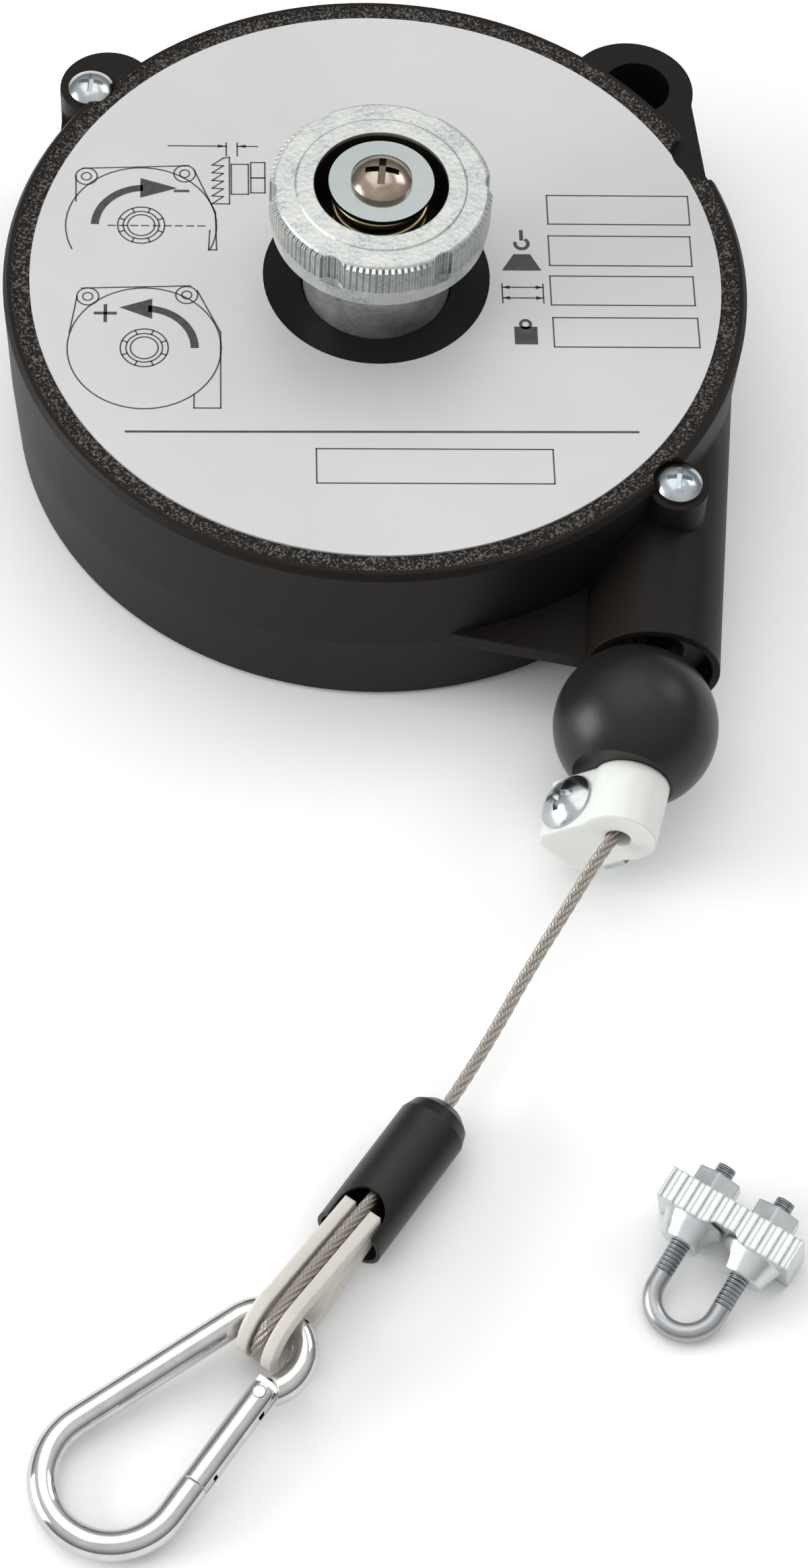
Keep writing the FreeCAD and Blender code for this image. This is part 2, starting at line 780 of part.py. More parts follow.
def knob():
    s = sheet
    foot = s.well_top + s.tooth_height + s.tooth_gap
    form = revolved("knob_form", [
        (0, foot),
        (s.knob_neck_radius, foot),
        (s.knob_neck_radius, s.knob_flange_base),
        (s.knob_flange_radius, s.knob_flange_base),
        (s.knob_grip_radius, s.knob_grip_base),
        (s.knob_grip_radius, s.knob_top - 0.8),
        (s.knob_top_radius, s.knob_top),
        (s.knob_ring_radius + s.knob_ring_height, s.knob_top),
        (s.knob_ring_radius, s.knob_top + s.knob_ring_height),
        (s.knob_recess_radius, s.knob_top + s.knob_ring_height),
        (s.knob_recess_radius, s.knob_recess_floor),
        (0, s.knob_recess_floor),
    ])
    scallops = []
    for index in range(int(float(s.scallop_count))):
        x, y = polar(s.knob_grip_radius - s.scallop_depth + s.scallop_radius,
                     360.0 / s.scallop_count * index + s.scallop_start)
        scallops.append(cylinder(f"scallop_{index + 1}", s.scallop_radius,
                                 s.knob_top - s.knob_grip_base + 1, x, y, s.knob_grip_base))
    key = hexagon("knob_key", s.spindle_key / 2 + s.seat_gap, s.knob_top, 0, 0, s.well_floor)
    teeth = tooth_ring("knob_teeth", float(s.well_top),
                       (float(s.tooth_gap), float(s.tooth_height + s.tooth_gap)), float(foot) + 0.5)
    node(fuse("knob_fuse", cut("knob_cut", form, key, *scallops), teeth), "knob")


def knob_fastening():
    s = sheet
    height = s.spindle_top - s.knob_recess_floor - 2 * s.coil_wire
    base = float(s.knob_recess_floor + s.coil_wire)
    turns, radius = float(s.coil_turns), float(s.coil_radius)
    steps = int(turns * 16)
    corners = []
    for step in range(steps + 1):
        turn = 2 * math.pi * turns * step / steps
        corners.append(Vector(radius * math.cos(turn), radius * math.sin(turn), float(height) * step / steps))
    line = Part.makePolygon(corners)
    first = corners[1] - corners[0]
    section = Part.Wire(Part.makeCircle(float(s.coil_wire), corners[0], first))
    coil = line.makePipeShell([section], True, False, 1)
    node(feature("coil", coil, Placement(Vector(0, 0, base), Rotation())), "knob_spring")
    disc = cylinder("washer_disc", s.washer_radius, s.washer_thickness, 0, 0, s.spindle_top)
    hole = cylinder("washer_hole", s.washer_bore, s.washer_thickness * 3,
                    0, 0, s.spindle_top - s.washer_thickness)
    node(cut("washer_cut", disc, hole), "knob_washer")
    screw = pan_screw("centre_screw", s.centre_head_radius, s.centre_head_height, s.centre_shank,
                      s.centre_length)
    node(place(screw, 0, 0, s.spindle_top + s.washer_thickness), "knob_screw")


# ---------------------------------------------------------------- neck, ball and clamp

BALL = point(sheet.ball_x, sheet.ball_y, sheet.parting_height)
PULL = Vector(-0.0202, -1, 0)


def laid(x, y, z):
    """A point of what lies free: x and y are measured from the ball's centre, z from the bench."""
    return Vector(BALL.x + x, BALL.y + y, z)


ENTRY = BALL + PULL * float(sheet.clamp_start)
CLAMP_AXIS = Vector(-0.17, -0.985, -0.01).normalize()
CLAMP = frame(ENTRY, Vector(-0.706, 0.122, -0.704), CLAMP_AXIS)


def rope_guide():
    """A plastic guide pressed into the neck; the rope leans on the left of its hole."""
    s = sheet
    outer = s.neck_bore_radius - s.running_gap
    guide = revolved("guide_turned", [
        (s.guide_hole + s.guide_flare, 0),
        (outer, 0),
        (outer, s.guide_length),
        (s.guide_hole + s.guide_flare, s.guide_length),
        (s.guide_hole, s.guide_length - s.guide_flare),
        (s.guide_hole, s.guide_flare),
    ])
    guide.Placement.Rotation = Rotation(Vector(1, 0, 0), 90)
    node(place(guide, s.neck_x, s.guide_length - s.guide_end, s.parting_height), "rope_guide")


def stop_ball():
    s = sheet
    sphere = place(bind(DOC.addObject("Part::Sphere", "ball_form"), Radius=s.ball_radius),
                   s.ball_x, s.ball_y, s.parting_height)
    flat = box("ball_flat_cut", s.ball_radius * 2, s.ball_radius * 2, s.ball_radius)
    flat.Placement = CLAMP.multiply(Placement(
        point(-s.ball_radius, -s.ball_radius, -s.seat_gap), Rotation()))
    hole = cylinder("ball_hole_cut", s.ball_hole, s.ball_radius * 3)
    hole.Placement = Placement(BALL - PULL * float(s.ball_radius * 1.5), Rotation(Vector(0, 0, 1), PULL))
    node(cut("ball_cut", sphere, flat, hole), "stop_ball")


def rope_clamp():
    """A nylon block squeezed on the rope by a cross screw and a nut."""
    s = sheet
    round_end = cylinder("clamp_round", s.clamp_radius, s.clamp_length)
    corner = s.clamp_half_width * 0.3
    flat_end = extruded("clamp_flat", [
        (0, -s.clamp_half_width),
        (s.clamp_reach - corner, -s.clamp_half_width),
        (s.clamp_reach, corner - s.clamp_half_width),
        (s.clamp_reach, s.clamp_half_width - corner),
        (s.clamp_reach - corner, s.clamp_half_width),
        (0, s.clamp_half_width),
    ], s.clamp_length)
    hole = cylinder("clamp_rope_hole", s.clamp_hole, s.clamp_length * 3)
    hole.Placement = Placement(point(0, 0, -s.clamp_length), Rotation())
    middle = s.clamp_length / 2
    cross = cylinder("clamp_cross_hole", s.clamp_shank + s.seat_gap, s.clamp_reach * 2)
    cross.Placement = Placement(point(s.clamp_screw_reach, s.clamp_reach, middle),
                                Rotation(Vector(1, 0, 0), 90))
    block = cut("clamp_cut", fuse("clamp_form", round_end, flat_end), hole, cross)
    block.Placement = CLAMP
    node(block, "clamp_block")
    head_seat = Placement(point(s.clamp_screw_reach, -s.clamp_half_width, middle),
                          Rotation(Vector(1, 0, 0), 90))
    screw = pan_screw("cross_screw", s.clamp_head_radius, s.clamp_head_height, s.clamp_shank,
                      s.clamp_half_width * 2 + s.clamp_nut_height)
    screw.Placement = CLAMP.multiply(head_seat)
    node(screw, "clamp_screw")
    nut = hexagon("cross_nut_form", s.clamp_nut, s.clamp_nut_height)
    bore = cylinder("cross_nut_bore", s.clamp_shank + s.seat_gap, s.clamp_nut_height * 3,
                    0, 0, -s.clamp_nut_height)
    nut_seat = Placement(point(s.clamp_screw_reach, s.clamp_half_width, middle),
                         Rotation(Vector(1, 0, 0), -90))
    ring = cut("cross_nut_cut", nut, bore)
    ring.Placement = CLAMP.multiply(nut_seat)
    node(ring, "clamp_nut")


# ---------------------------------------------------------------- rope and its end

# Thimble: X from the eye towards the rope, Z across the loop. Sleeve: X from its wide mouth up the rope.
THIMBLE = frame(laid(-47.0, -101.3, 6.75), Vector(0.525, 0.851, 0.095), Vector(0, 0, 1))
SLEEVE = frame(laid(-38.2, -86.7, 6.1), Vector(0.495, 0.869, -0.02), Vector(0, 0, 1))


def in_plane(placement, x, z):
    return placement.multVec(Vector(float(x), 0, float(z)))


def rope_points():
    """The free rope: out of the clamp, down into the sleeve, round the thimble and back."""
    s = sheet
    crimp_end = s.ferrule_start + s.ferrule_length
    pair = float(s.rope_radius + s.running_gap)
    route = [
        ENTRY + CLAMP_AXIS * 3.0,
        ENTRY + CLAMP_AXIS * 8.5,
        laid(-4.9, -23.9, 15.0),
        laid(-9.0, -31.4, 12.0),
        laid(-14.1, -40.6, 8.7),
        laid(-19.5, -52.4, 6.4),
        in_plane(SLEEVE, s.sleeve_length + 1.5, 0.3),
        in_plane(SLEEVE, crimp_end + 0.5, pair),
        in_plane(SLEEVE, s.ferrule_start - 1.0, pair),
    ]
    # The loop lies in the thimble's groove: corners of a polygon drawn round the groove's circle.
    seat = float(s.thimble_groove + s.rope_radius)
    wrap = math.radians(180 + 2 * float(s.thimble_slope))
    reach = seat / math.cos(wrap / 8)
    slope = wrap / 2 - math.pi / 2
    leg = float(s.thimble_end) + 0.8
    rise = (seat - leg * math.sin(slope)) / math.cos(slope)
    route.append(in_plane(THIMBLE, leg, rise))
    for quarter in range(4):
        turn = math.pi - wrap / 2 + wrap / 8 + quarter * wrap / 4
        route.append(in_plane(THIMBLE, reach * math.cos(turn), reach * math.sin(turn)))
    route.append(in_plane(THIMBLE, leg, -rise))
    route.append(in_plane(SLEEVE, s.ferrule_start - 1.0, -pair))
    route.append(in_plane(SLEEVE, crimp_end, -pair))
    return route


def rope():
    s = sheet
    wire, radii = rounded_path(rope_points())
    print("rope: length", round(wire.Length, 1), "arc radii", [round(radius, 1) for radius in radii])
    free = tube(wire, float(s.rope_radius))
    print("rope: volume ratio", round(free.Volume / (wire.Length * math.pi * float(s.rope_radius) ** 2), 4))
    node(feature("free_rope", free), "rope")
    inside = float(s.neck_end) * 0.75
    lead, lead_radii = rounded_path([BALL - PULL * inside, ENTRY, rope_points()[0]])
    print("rope_lead: length", round(lead.Length, 1), "arc radii", [round(r, 1) for r in lead_radii])
    node(feature("neck_rope", tube(lead, float(s.rope_radius))), "rope_lead")


def rope_end():
    """Sleeve and ferrule, built along Z and laid along the rope."""
    s = sheet
    lying = SLEEVE.multiply(Placement(Vector(), Rotation(Vector(0, 1, 0), 90)))
    end = s.sleeve_length
    sleeve = revolved("sleeve_turned", [
        (s.sleeve_bore, 0),
        (s.sleeve_radius, 0),
        (s.sleeve_radius, end - 3.4),
        (s.sleeve_radius - 0.7, end - 1.4),
        (s.sleeve_radius - 2.2, end),
        (s.rope_radius + 0.9, end),
        (s.rope_radius + 0.9, end - 1.2),
        (s.sleeve_bore, end - 4.0),
    ])
    notch_rod = cylinder("sleeve_notch_end", s.sleeve_notch, 20)
    notch_rod.Placement = Placement(Vector(0, 0, 2.6), Rotation(Vector(0, 1, 0), -90))
    notch_box = box("sleeve_notch_box", 20, s.sleeve_notch * 2, 10)
    notch_box.Placement = Placement(point(-20, -s.sleeve_notch, 2.6 - 10), Rotation())
    cover = cut("sleeve_cut", sleeve, notch_rod, notch_box)
    cover.Placement = lying
    node(cover, "rope_sleeve")
    height, width = s.ferrule_half_height, s.ferrule_half_width
    block = box("ferrule_middle", (height - width) * 2, width * 2, s.ferrule_length,
                width - height, -width, s.ferrule_start)
    rounds = [cylinder("ferrule_upper", width, s.ferrule_length, width - height, 0, s.ferrule_start),
              cylinder("ferrule_lower", width, s.ferrule_length, height - width, 0, s.ferrule_start)]
    offset = s.rope_radius + s.running_gap
    holes = [cylinder("ferrule_hole_up", s.rope_radius + s.crimp_gap, 60, -offset, 0, 0),
             cylinder("ferrule_hole_down", s.rope_radius + s.crimp_gap, 60, offset, 0, 0),
             box("ferrule_hole_middle", offset * 2, s.rope_radius, 60, -offset, -s.rope_radius / 2, 0)]
    crimp = cut("ferrule_cut", fuse("ferrule_form", block, *rounds), *holes)
    crimp.Placement = lying
    node(crimp, "ferrule")


def thimble():
    """A plastic thimble: a grooved half ring with flared lips and two legs that close on the rope."""
    s = sheet
    slot = s.thimble_slot
    ring = revolved("thimble_turned", [
        (s.thimble_bore, -s.thimble_half_width * 0.6),
        (s.thimble_bore + 0.7, -s.thimble_lip * 0.85),
        (s.thimble_bore + 1.5, -s.thimble_lip),
        (s.thimble_groove + 1.3, -s.thimble_half_width - 0.3),
        (s.thimble_rim, -s.thimble_half_width),
        (s.thimble_rim, -slot),
        (s.thimble_groove, -slot),
        (s.thimble_groove, slot),
        (s.thimble_rim, slot),
        (s.thimble_rim, s.thimble_half_width),
        (s.thimble_groove + 1.3, s.thimble_half_width + 0.3),
        (s.thimble_bore + 1.5, s.thimble_lip),
        (s.thimble_bore + 0.7, s.thimble_lip * 0.85),
        (s.thimble_bore, s.thimble_half_width * 0.6),
    ], 180 + 2 * s.thimble_slope)
    upright = Placement(Vector(), Rotation(Vector(1, 0, 0), 90))
    opening = Rotation(Vector(0, 0, 1), 90 - float(s.thimble_slope))
    ring.Placement = upright.multiply(Placement(Vector(), opening))
    joint = 0.5
    legs = []
    for name, turn in (("upper", 0), ("lower", 180)):
        sole = box(f"thimble_{name}_sole", s.thimble_leg + joint, s.thimble_half_width * 2,
                   s.thimble_rim - s.thimble_bore)
        groove = box(f"thimble_{name}_groove", s.thimble_leg + 2 * joint, slot * 2,
                     s.thimble_rim - s.thimble_groove + 1)
        exit_slot = box(f"thimble_{name}_exit", s.thimble_leg, slot * 2, s.thimble_rim)
        for piece, along, across, height in (
                (sole, -joint, -s.thimble_half_width, s.thimble_bore),
                (groove, -joint, -slot, s.thimble_groove),
                (exit_slot, s.thimble_end - s.thimble_exit, -slot, s.thimble_bore - 1)):
            corner = Placement(point(along, across, height), Rotation())
            tilt = Placement(Vector(), Rotation(Vector(0, 1, 0), float(s.thimble_slope)))
            flip = Placement(Vector(), Rotation(Vector(1, 0, 0), turn))
            piece.Placement = flip.multiply(tilt).multiply(corner)
        legs.append(cut(f"thimble_{name}_leg", sole, groove, exit_slot))
    keeper = box("thimble_keep", s.thimble_end + 2 * joint, 20, 30)
    keeper.Placement = Placement(Vector(-2 * joint, -10, -15), Rotation())
    trimmed = [common(f"thimble_trim_{index}", leg, keeper) for index, leg in enumerate(legs)]
    body = fuse("thimble_form", ring, *trimmed)
    body.Placement = THIMBLE
    node(body, "thimble")


# ---------------------------------------------------------------- snap hook

# Hook: X from the wide end to the narrow end, Y towards the spine, Z across the wire.
HOOK = frame(laid(-68.6, -125.35, 3.2), Vector(0.6934, 0.7153, 0.0857), Vector(0, 0, 1))


def gate_line():
    """The gate's pivot, the nose end and the unit vector from pivot to nose, in the hook's frame."""
    s = sheet
    pivot = Vector(float(s.gate_pivot_u), float(s.gate_pivot_v), 0)
    reach = pivot.Length
    lean = math.asin(float(s.hook_big_radius) / reach)
    heading = math.atan2(-pivot.y, -pivot.x) + lean
    along = Vector(math.cos(heading), math.sin(heading), 0)
    touch = pivot + along * math.sqrt(reach ** 2 - float(s.hook_big_radius) ** 2)
    nose = pivot + along * ((pivot.x - float(s.gate_nose)) / -along.x)
    return pivot, nose, touch, along


def snap_hook():
    s = sheet
    big, small, span = float(s.hook_big_radius), float(s.hook_small_radius), float(s.hook_centres)
    pivot, nose, touch, along = gate_line()
    lean = math.asin((big - small) / span)
    normal = Vector(math.sin(lean), math.cos(lean), 0)
    far = Vector(span, 0, 0)
    tail_turn = math.atan2(pivot.y, pivot.x - span)
    tail = far + Vector(small * math.cos(tail_turn), small * math.sin(tail_turn), 0)
    big_mid = Vector(-big, 0, 0)
    small_mid = far + Vector(small, 0, 0)
    wire = Part.Wire([
        Part.LineSegment(nose, touch).toShape(),
        Part.Arc(touch, big_mid, normal * big).toShape(),
        Part.LineSegment(normal * big, far + normal * small).toShape(),
        Part.Arc(far + normal * small, small_mid, tail).toShape(),
    ])
    bar = feature("hook_bar", tube(wire, float(s.hook_wire)))
    angle = math.degrees(math.atan2(along.y, along.x))

    def along_gate(shape, start, offset):
        shape.Placement = Placement(start, Rotation(Vector(0, 0, 1), angle)).multiply(
            Placement(offset, Rotation()))
        return shape

    half = s.tongue_half
    clear = s.gate_slot
    reach = float(s.gate_radius)
    tongue_nose = along_gate(box("nose_tongue", 3.6, s.gate_radius * 1.7, half * 2), nose,
                             Vector(-2.4, -reach * 0.85, -float(half)))
    tongue_hinge = along_gate(box("hinge_tongue", 4.2, s.gate_radius * 1.7, half * 2), pivot,
                              Vector(-2.6, -reach * 0.85, -float(half)))
    hinge_hole = cylinder("tongue_hole", s.rivet_radius + s.running_gap, 10)
    hinge_hole.Placement = Placement(pivot + Vector(0, 0, -5), Rotation())
    sweep = cylinder("hinge_clear", s.gate_radius + 0.5, 10)
    sweep.Placement = Placement(pivot + Vector(0, 0, -5), Rotation())
    open_bar = cut("hook_bar_cut", bar, sweep)
    body = cut("hook_cut", fuse("hook_form", open_bar, tongue_nose, tongue_hinge), hinge_hole)
    body.Placement = HOOK
    node(body, "carabiner")

    length = (nose - pivot).Length - 0.25
    barrel = feature("gate_barrel", Part.makeCylinder(
        reach, length + reach * 0.6, pivot - along * (reach * 0.6), along))
    slots = [
        along_gate(box("gate_slot_nose", 8, s.gate_radius * 3, clear * 2), nose,
                   Vector(-3.0, -reach * 1.5, -float(clear))),
        along_gate(box("gate_slot_hinge", 8, s.gate_radius * 3, clear * 2), pivot,
                   Vector(-5.0, -reach * 1.5, -float(clear))),
    ]
    hole = cylinder("gate_rivet_hole", s.rivet_radius + s.running_gap, 10)
    hole.Placement = Placement(pivot + Vector(0, 0, -5), Rotation())
    gate = cut("gate_cut", barrel, *slots, hole)
    gate.Placement = HOOK
    node(gate, "gate")
    rivet = cylinder("rivet_bar", s.rivet_radius, s.gate_radius * 2)
    rivet.Placement = HOOK.multiply(Placement(pivot - Vector(0, 0, reach), Rotation()))
    node(rivet, "gate_rivet")


# ---------------------------------------------------------------- rope clip

CLIP = frame(laid(11.7, -90.7, 2.7), Vector(0.47, 0.846, 0.25), Vector(-0.12, -0.22, 0.97))


def rope_clip():
    """A U-bolt, a ribbed saddle and two nuts; X runs along the legs, Y from leg to leg."""
    s = sheet
    half = float(s.clip_leg_spacing) / 2
    leg = float(s.clip_leg)
    ends = [Vector(leg, half, 0), Vector(0, half, 0), Vector(0, -half, 0), Vector(leg, -half, 0)]
    bend = Part.Wire([
        Part.LineSegment(ends[0], ends[1]).toShape(),
        Part.Arc(ends[1], Vector(-half, 0, 0), ends[2]).toShape(),
        Part.LineSegment(ends[2], ends[3]).toShape(),
    ])
    node(feature("u_bolt_bar", tube(bend, float(s.clip_wire)), CLIP), "u_bolt")

    top = s.saddle_base + s.saddle_height
    step = s.saddle_base + s.saddle_height * 0.42
    end = s.saddle_length / 2
    seat_half = s.clip_leg_spacing * 0.3
    block = extruded("saddle_form", [
        (step, -end),
        (top, -end),
        (top, end),
        (step, end),
        (step, seat_half),
        (step + s.saddle_height * 0.1, seat_half * 0.6),
        (step + s.saddle_height * 0.1, -seat_half * 0.6),
        (step, -seat_half),
    ], s.saddle_width, -s.saddle_width / 2)
    feet = []
    tools = []
    for name, side in (("left", 1), ("right", -1)):
        foot = DOC.addObject("Part::Cone", f"saddle_foot_{name}")
        bind(foot, Radius1=s.saddle_foot, Radius2=s.saddle_width * 0.46, Height=step - s.saddle_base + 0.5)
        foot.Placement = Placement(point(s.saddle_base, side * half, 0), Rotation(Vector(0, 1, 0), 90))
        feet.append(foot)
        hole = cylinder(f"saddle_hole_{name}", s.clip_wire + s.seat_gap, 40)
        hole.Placement = Placement(Vector(-5, side * half, 0), Rotation(Vector(0, 1, 0), 90))
        tools.append(hole)
    block = fuse("saddle_body", block, *feet)
    seat = cylinder("saddle_seat", s.clip_leg_spacing * 0.26, s.saddle_width * 2)
    seat.Placement = Placement(point(s.saddle_base + 0.8, 0, -s.saddle_width), Rotation())
    tools.append(seat)
    pitch = float(s.saddle_length) / float(s.saddle_ribs)
    for index in range(int(float(s.saddle_ribs))):
        groove = box(f"saddle_groove_{index + 1}", s.saddle_height * 2, pitch * 0.45, 1)
        across = (index + 0.3) * pitch - float(s.saddle_length) / 2
        groove.Placement = Placement(
            Vector(float(s.saddle_base) - 2, across, float(s.saddle_width) / 2 - 0.45), Rotation())
        tools.append(groove)
    saddle = cut("saddle_cut", block, *tools)
    saddle.Placement = CLIP
    node(saddle, "clip_saddle")

    nuts = []
    for name, side in (("left", 1), ("right", -1)):
        form = hexagon(f"clip_nut_form_{name}", s.clip_nut, s.clip_nut_height)
        bore = cylinder(f"clip_nut_bore_{name}", s.clip_wire + s.running_gap, s.clip_nut_height * 3,
                        0, 0, -s.clip_nut_height)
        nut = cut(f"clip_nut_{name}", form, bore)
        start = point(s.saddle_base + s.saddle_height, side * half, 0)
        nut.Placement = Placement(start, Rotation(Vector(0, 1, 0), 90))
        nuts.append(nut)
    pair = DOC.addObject("Part::Compound", "clip_nut_pair")
    pair.Links = nuts
    pair.Placement = CLIP
    node(pair, "clip_nuts")


# ---------------------------------------------------------------- assembly


def build():
    casing()
    name_plate()
    case_screws()
    drum()
    wound_rope()
    spiral_spring()
    spindle()
    knob()
    knob_fastening()
    rope_guide()
    stop_ball()
    rope_clamp()
    rope()
    rope_end()
    thimble()
    snap_hook()
    rope_clip()
    DOC.recompute()


def check():
    """Stop if any object failed or any piece is empty or not valid."""
    for item in DOC.Objects:
        bad = {"Invalid", "Error"} & set(item.State)
        if bad:
            raise SystemExit(f"{item.Name} ({item.Label}) failed: {sorted(bad)}")
    faults = [item.Label for item in NODES
              if item.Shape.isNull() or not item.Shape.isValid() or not item.Shape.Solids]
    if faults:
        raise SystemExit("empty or not valid: " + ", ".join(faults))


def write():
    os.makedirs("parts", exist_ok=True)
    for item in NODES:
        item.Shape.exportStep(os.path.join("parts", item.Label + ".step"))
    print(len(NODES), "pieces written")


build()
check()
write()
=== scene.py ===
"""Looks of a spring tool balancer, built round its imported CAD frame.

Every length is in metres and every place is in the frame's own axes: +Z out of the name plate,
the origin on the drum's axis at the casing's flat back, and the rope's neck towards -Y.
"""

from __future__ import annotations

import json
import logging
import math
from dataclasses import dataclass, field
from enum import Enum
from typing import Callable, Iterable, Sequence, Union

import bpy
from mathutils import Matrix, Vector

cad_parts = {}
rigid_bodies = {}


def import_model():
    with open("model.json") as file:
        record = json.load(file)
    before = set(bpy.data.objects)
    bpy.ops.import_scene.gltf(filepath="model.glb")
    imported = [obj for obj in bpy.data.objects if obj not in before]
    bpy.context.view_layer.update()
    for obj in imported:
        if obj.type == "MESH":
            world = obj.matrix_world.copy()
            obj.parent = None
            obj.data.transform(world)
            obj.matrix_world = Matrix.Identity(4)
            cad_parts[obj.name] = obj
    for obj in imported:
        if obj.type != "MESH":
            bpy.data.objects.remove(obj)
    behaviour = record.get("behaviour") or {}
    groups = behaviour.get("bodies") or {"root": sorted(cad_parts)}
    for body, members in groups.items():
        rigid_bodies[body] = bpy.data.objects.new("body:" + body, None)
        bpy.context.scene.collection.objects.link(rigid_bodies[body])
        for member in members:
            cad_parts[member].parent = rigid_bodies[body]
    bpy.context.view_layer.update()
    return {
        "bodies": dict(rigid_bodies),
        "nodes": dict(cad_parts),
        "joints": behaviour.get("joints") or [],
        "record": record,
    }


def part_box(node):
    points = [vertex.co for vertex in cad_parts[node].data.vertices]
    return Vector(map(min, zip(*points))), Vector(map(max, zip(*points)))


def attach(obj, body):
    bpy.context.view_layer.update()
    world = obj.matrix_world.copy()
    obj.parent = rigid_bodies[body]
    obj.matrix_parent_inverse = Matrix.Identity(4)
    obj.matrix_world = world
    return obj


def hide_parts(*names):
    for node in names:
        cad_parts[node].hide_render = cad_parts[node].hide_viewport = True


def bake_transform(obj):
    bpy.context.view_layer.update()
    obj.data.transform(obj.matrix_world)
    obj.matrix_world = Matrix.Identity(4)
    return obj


LOG = logging.getLogger("tool_balancer")
MM = 0.001

Colour = tuple[float, float, float]
Point = tuple[float, float, float]
Mark = tuple[float, float]
Feed = Union[bpy.types.NodeSocket, float, Sequence[float]]


class Body(Enum):
    """The CAD bodies that the pieces drawn here ride on."""

    HOUSING = "housing"
    SPINDLE = "spindle"
    KNOB = "knob"
    ROPE_END = "rope_end"


class Slot(Enum):
    """The record's material slots."""

    CASE = "case_plastic"
    PLATE = "plate_aluminium"
    ZINC = "zinc"
    GUIDE = "guide_plastic"
    DRUM = "drum_plastic"
    BRASS = "brass"
    SPRING = "spring_steel"
    ROPE = "rope_steel"
    KNOB = "knob_zinc"
    SCREW = "screw_yellow"
    RUBBER = "rubber"
    NYLON = "nylon"
    FERRULE = "ferrule_copper"
    HOOK = "hook_chrome"
    CLIP = "clip_zinc"


# ---- finishes


@dataclass(frozen=True)
class Finish:
    """A surface: its two colours, how it shines and how fine marks vary it.

    Attributes:
        colour: the main colour, linear.
        second_colour: the colour of its soft blotches.
        roughness: the middle of its roughness.
        metallic: 1 for bare metal, 0 for plastic.
        blotch_scale: how fine the blotches are.
        roughness_spread: how far the blotches move the roughness.
        grain_scale: how fine the grain is.
        grain_depth: how deep the grain is, in metres.
        subsurface: the share of light that passes under the surface.
        subsurface_depth: how far that light travels, in metres.
        subsurface_tint: the share of that distance that each colour travels.
        specular: the strength of the plain reflection.
        edge: how wide the edges catch the light, in metres.
    """

    colour: Colour
    second_colour: Colour
    roughness: float
    metallic: float = 0.0
    blotch_scale: float = 60.0
    roughness_spread: float = 0.05
    grain_scale: float = 900.0
    grain_depth: float = 0.00002
    subsurface: float = 0.0
    subsurface_depth: float = 0.002
    subsurface_tint: Colour = (1.0, 1.0, 0.9)
    specular: float = 0.5
    edge: float = 0.0


FINISHES: dict[Slot, Finish] = {
    Slot.CASE: Finish((0.0112, 0.0092, 0.0078), (0.0152, 0.0126, 0.0107), 0.48,
                      grain_scale=1400.0, grain_depth=0.000012, specular=0.13, edge=0.0004),
    Slot.PLATE: Finish((0.55, 0.55, 0.555), (0.59, 0.59, 0.595), 0.45, metallic=0.2,
                       grain_scale=3000.0, grain_depth=0.000004, blotch_scale=25.0),
    Slot.ZINC: Finish((0.42, 0.48, 0.53), (0.56, 0.57, 0.55), 0.22, metallic=1.0,
                      blotch_scale=420.0, grain_scale=2500.0, grain_depth=0.000006, edge=0.0001),
    Slot.GUIDE: Finish((0.020, 0.020, 0.020), (0.025, 0.025, 0.025), 0.40),
    Slot.DRUM: Finish((0.050, 0.050, 0.052), (0.060, 0.060, 0.062), 0.50),
    Slot.BRASS: Finish((0.62, 0.50, 0.26), (0.45, 0.38, 0.22), 0.30, metallic=1.0),
    Slot.SPRING: Finish((0.16, 0.17, 0.20), (0.20, 0.19, 0.20), 0.35, metallic=1.0),
    Slot.ROPE: Finish((0.54, 0.50, 0.45), (0.42, 0.38, 0.33), 0.36, metallic=1.0, blotch_scale=700.0),
    Slot.KNOB: Finish((0.53, 0.57, 0.57), (0.63, 0.64, 0.60), 0.36, metallic=0.75,
                      blotch_scale=230.0, roughness_spread=0.14, grain_scale=1150.0,
                      grain_depth=0.00009, edge=0.00025),
    Slot.SCREW: Finish((0.30, 0.235, 0.19), (0.43, 0.36, 0.30), 0.20, metallic=1.0,
                       blotch_scale=300.0, edge=0.0001),
    Slot.RUBBER: Finish((0.0120, 0.0112, 0.0106), (0.0165, 0.0154, 0.0146), 0.35,
                        grain_scale=1500.0, grain_depth=0.000010, specular=0.30, edge=0.0003),
    Slot.NYLON: Finish((0.76, 0.78, 0.75), (0.71, 0.73, 0.69), 0.36, subsurface=0.45,
                       grain_scale=700.0, grain_depth=0.000010, edge=0.0006),
    Slot.FERRULE: Finish((0.50, 0.30, 0.20), (0.42, 0.25, 0.17), 0.35, metallic=1.0),
    Slot.HOOK: Finish((0.66, 0.66, 0.65), (0.57, 0.57, 0.56), 0.09, metallic=1.0,
                      blotch_scale=260.0, grain_depth=0.000003, edge=0.0002),
    Slot.CLIP: Finish((0.62, 0.66, 0.67), (0.71, 0.73, 0.72), 0.30, metallic=0.80,
                      blotch_scale=320.0, roughness_spread=0.10, grain_depth=0.000018, edge=0.0005),
}


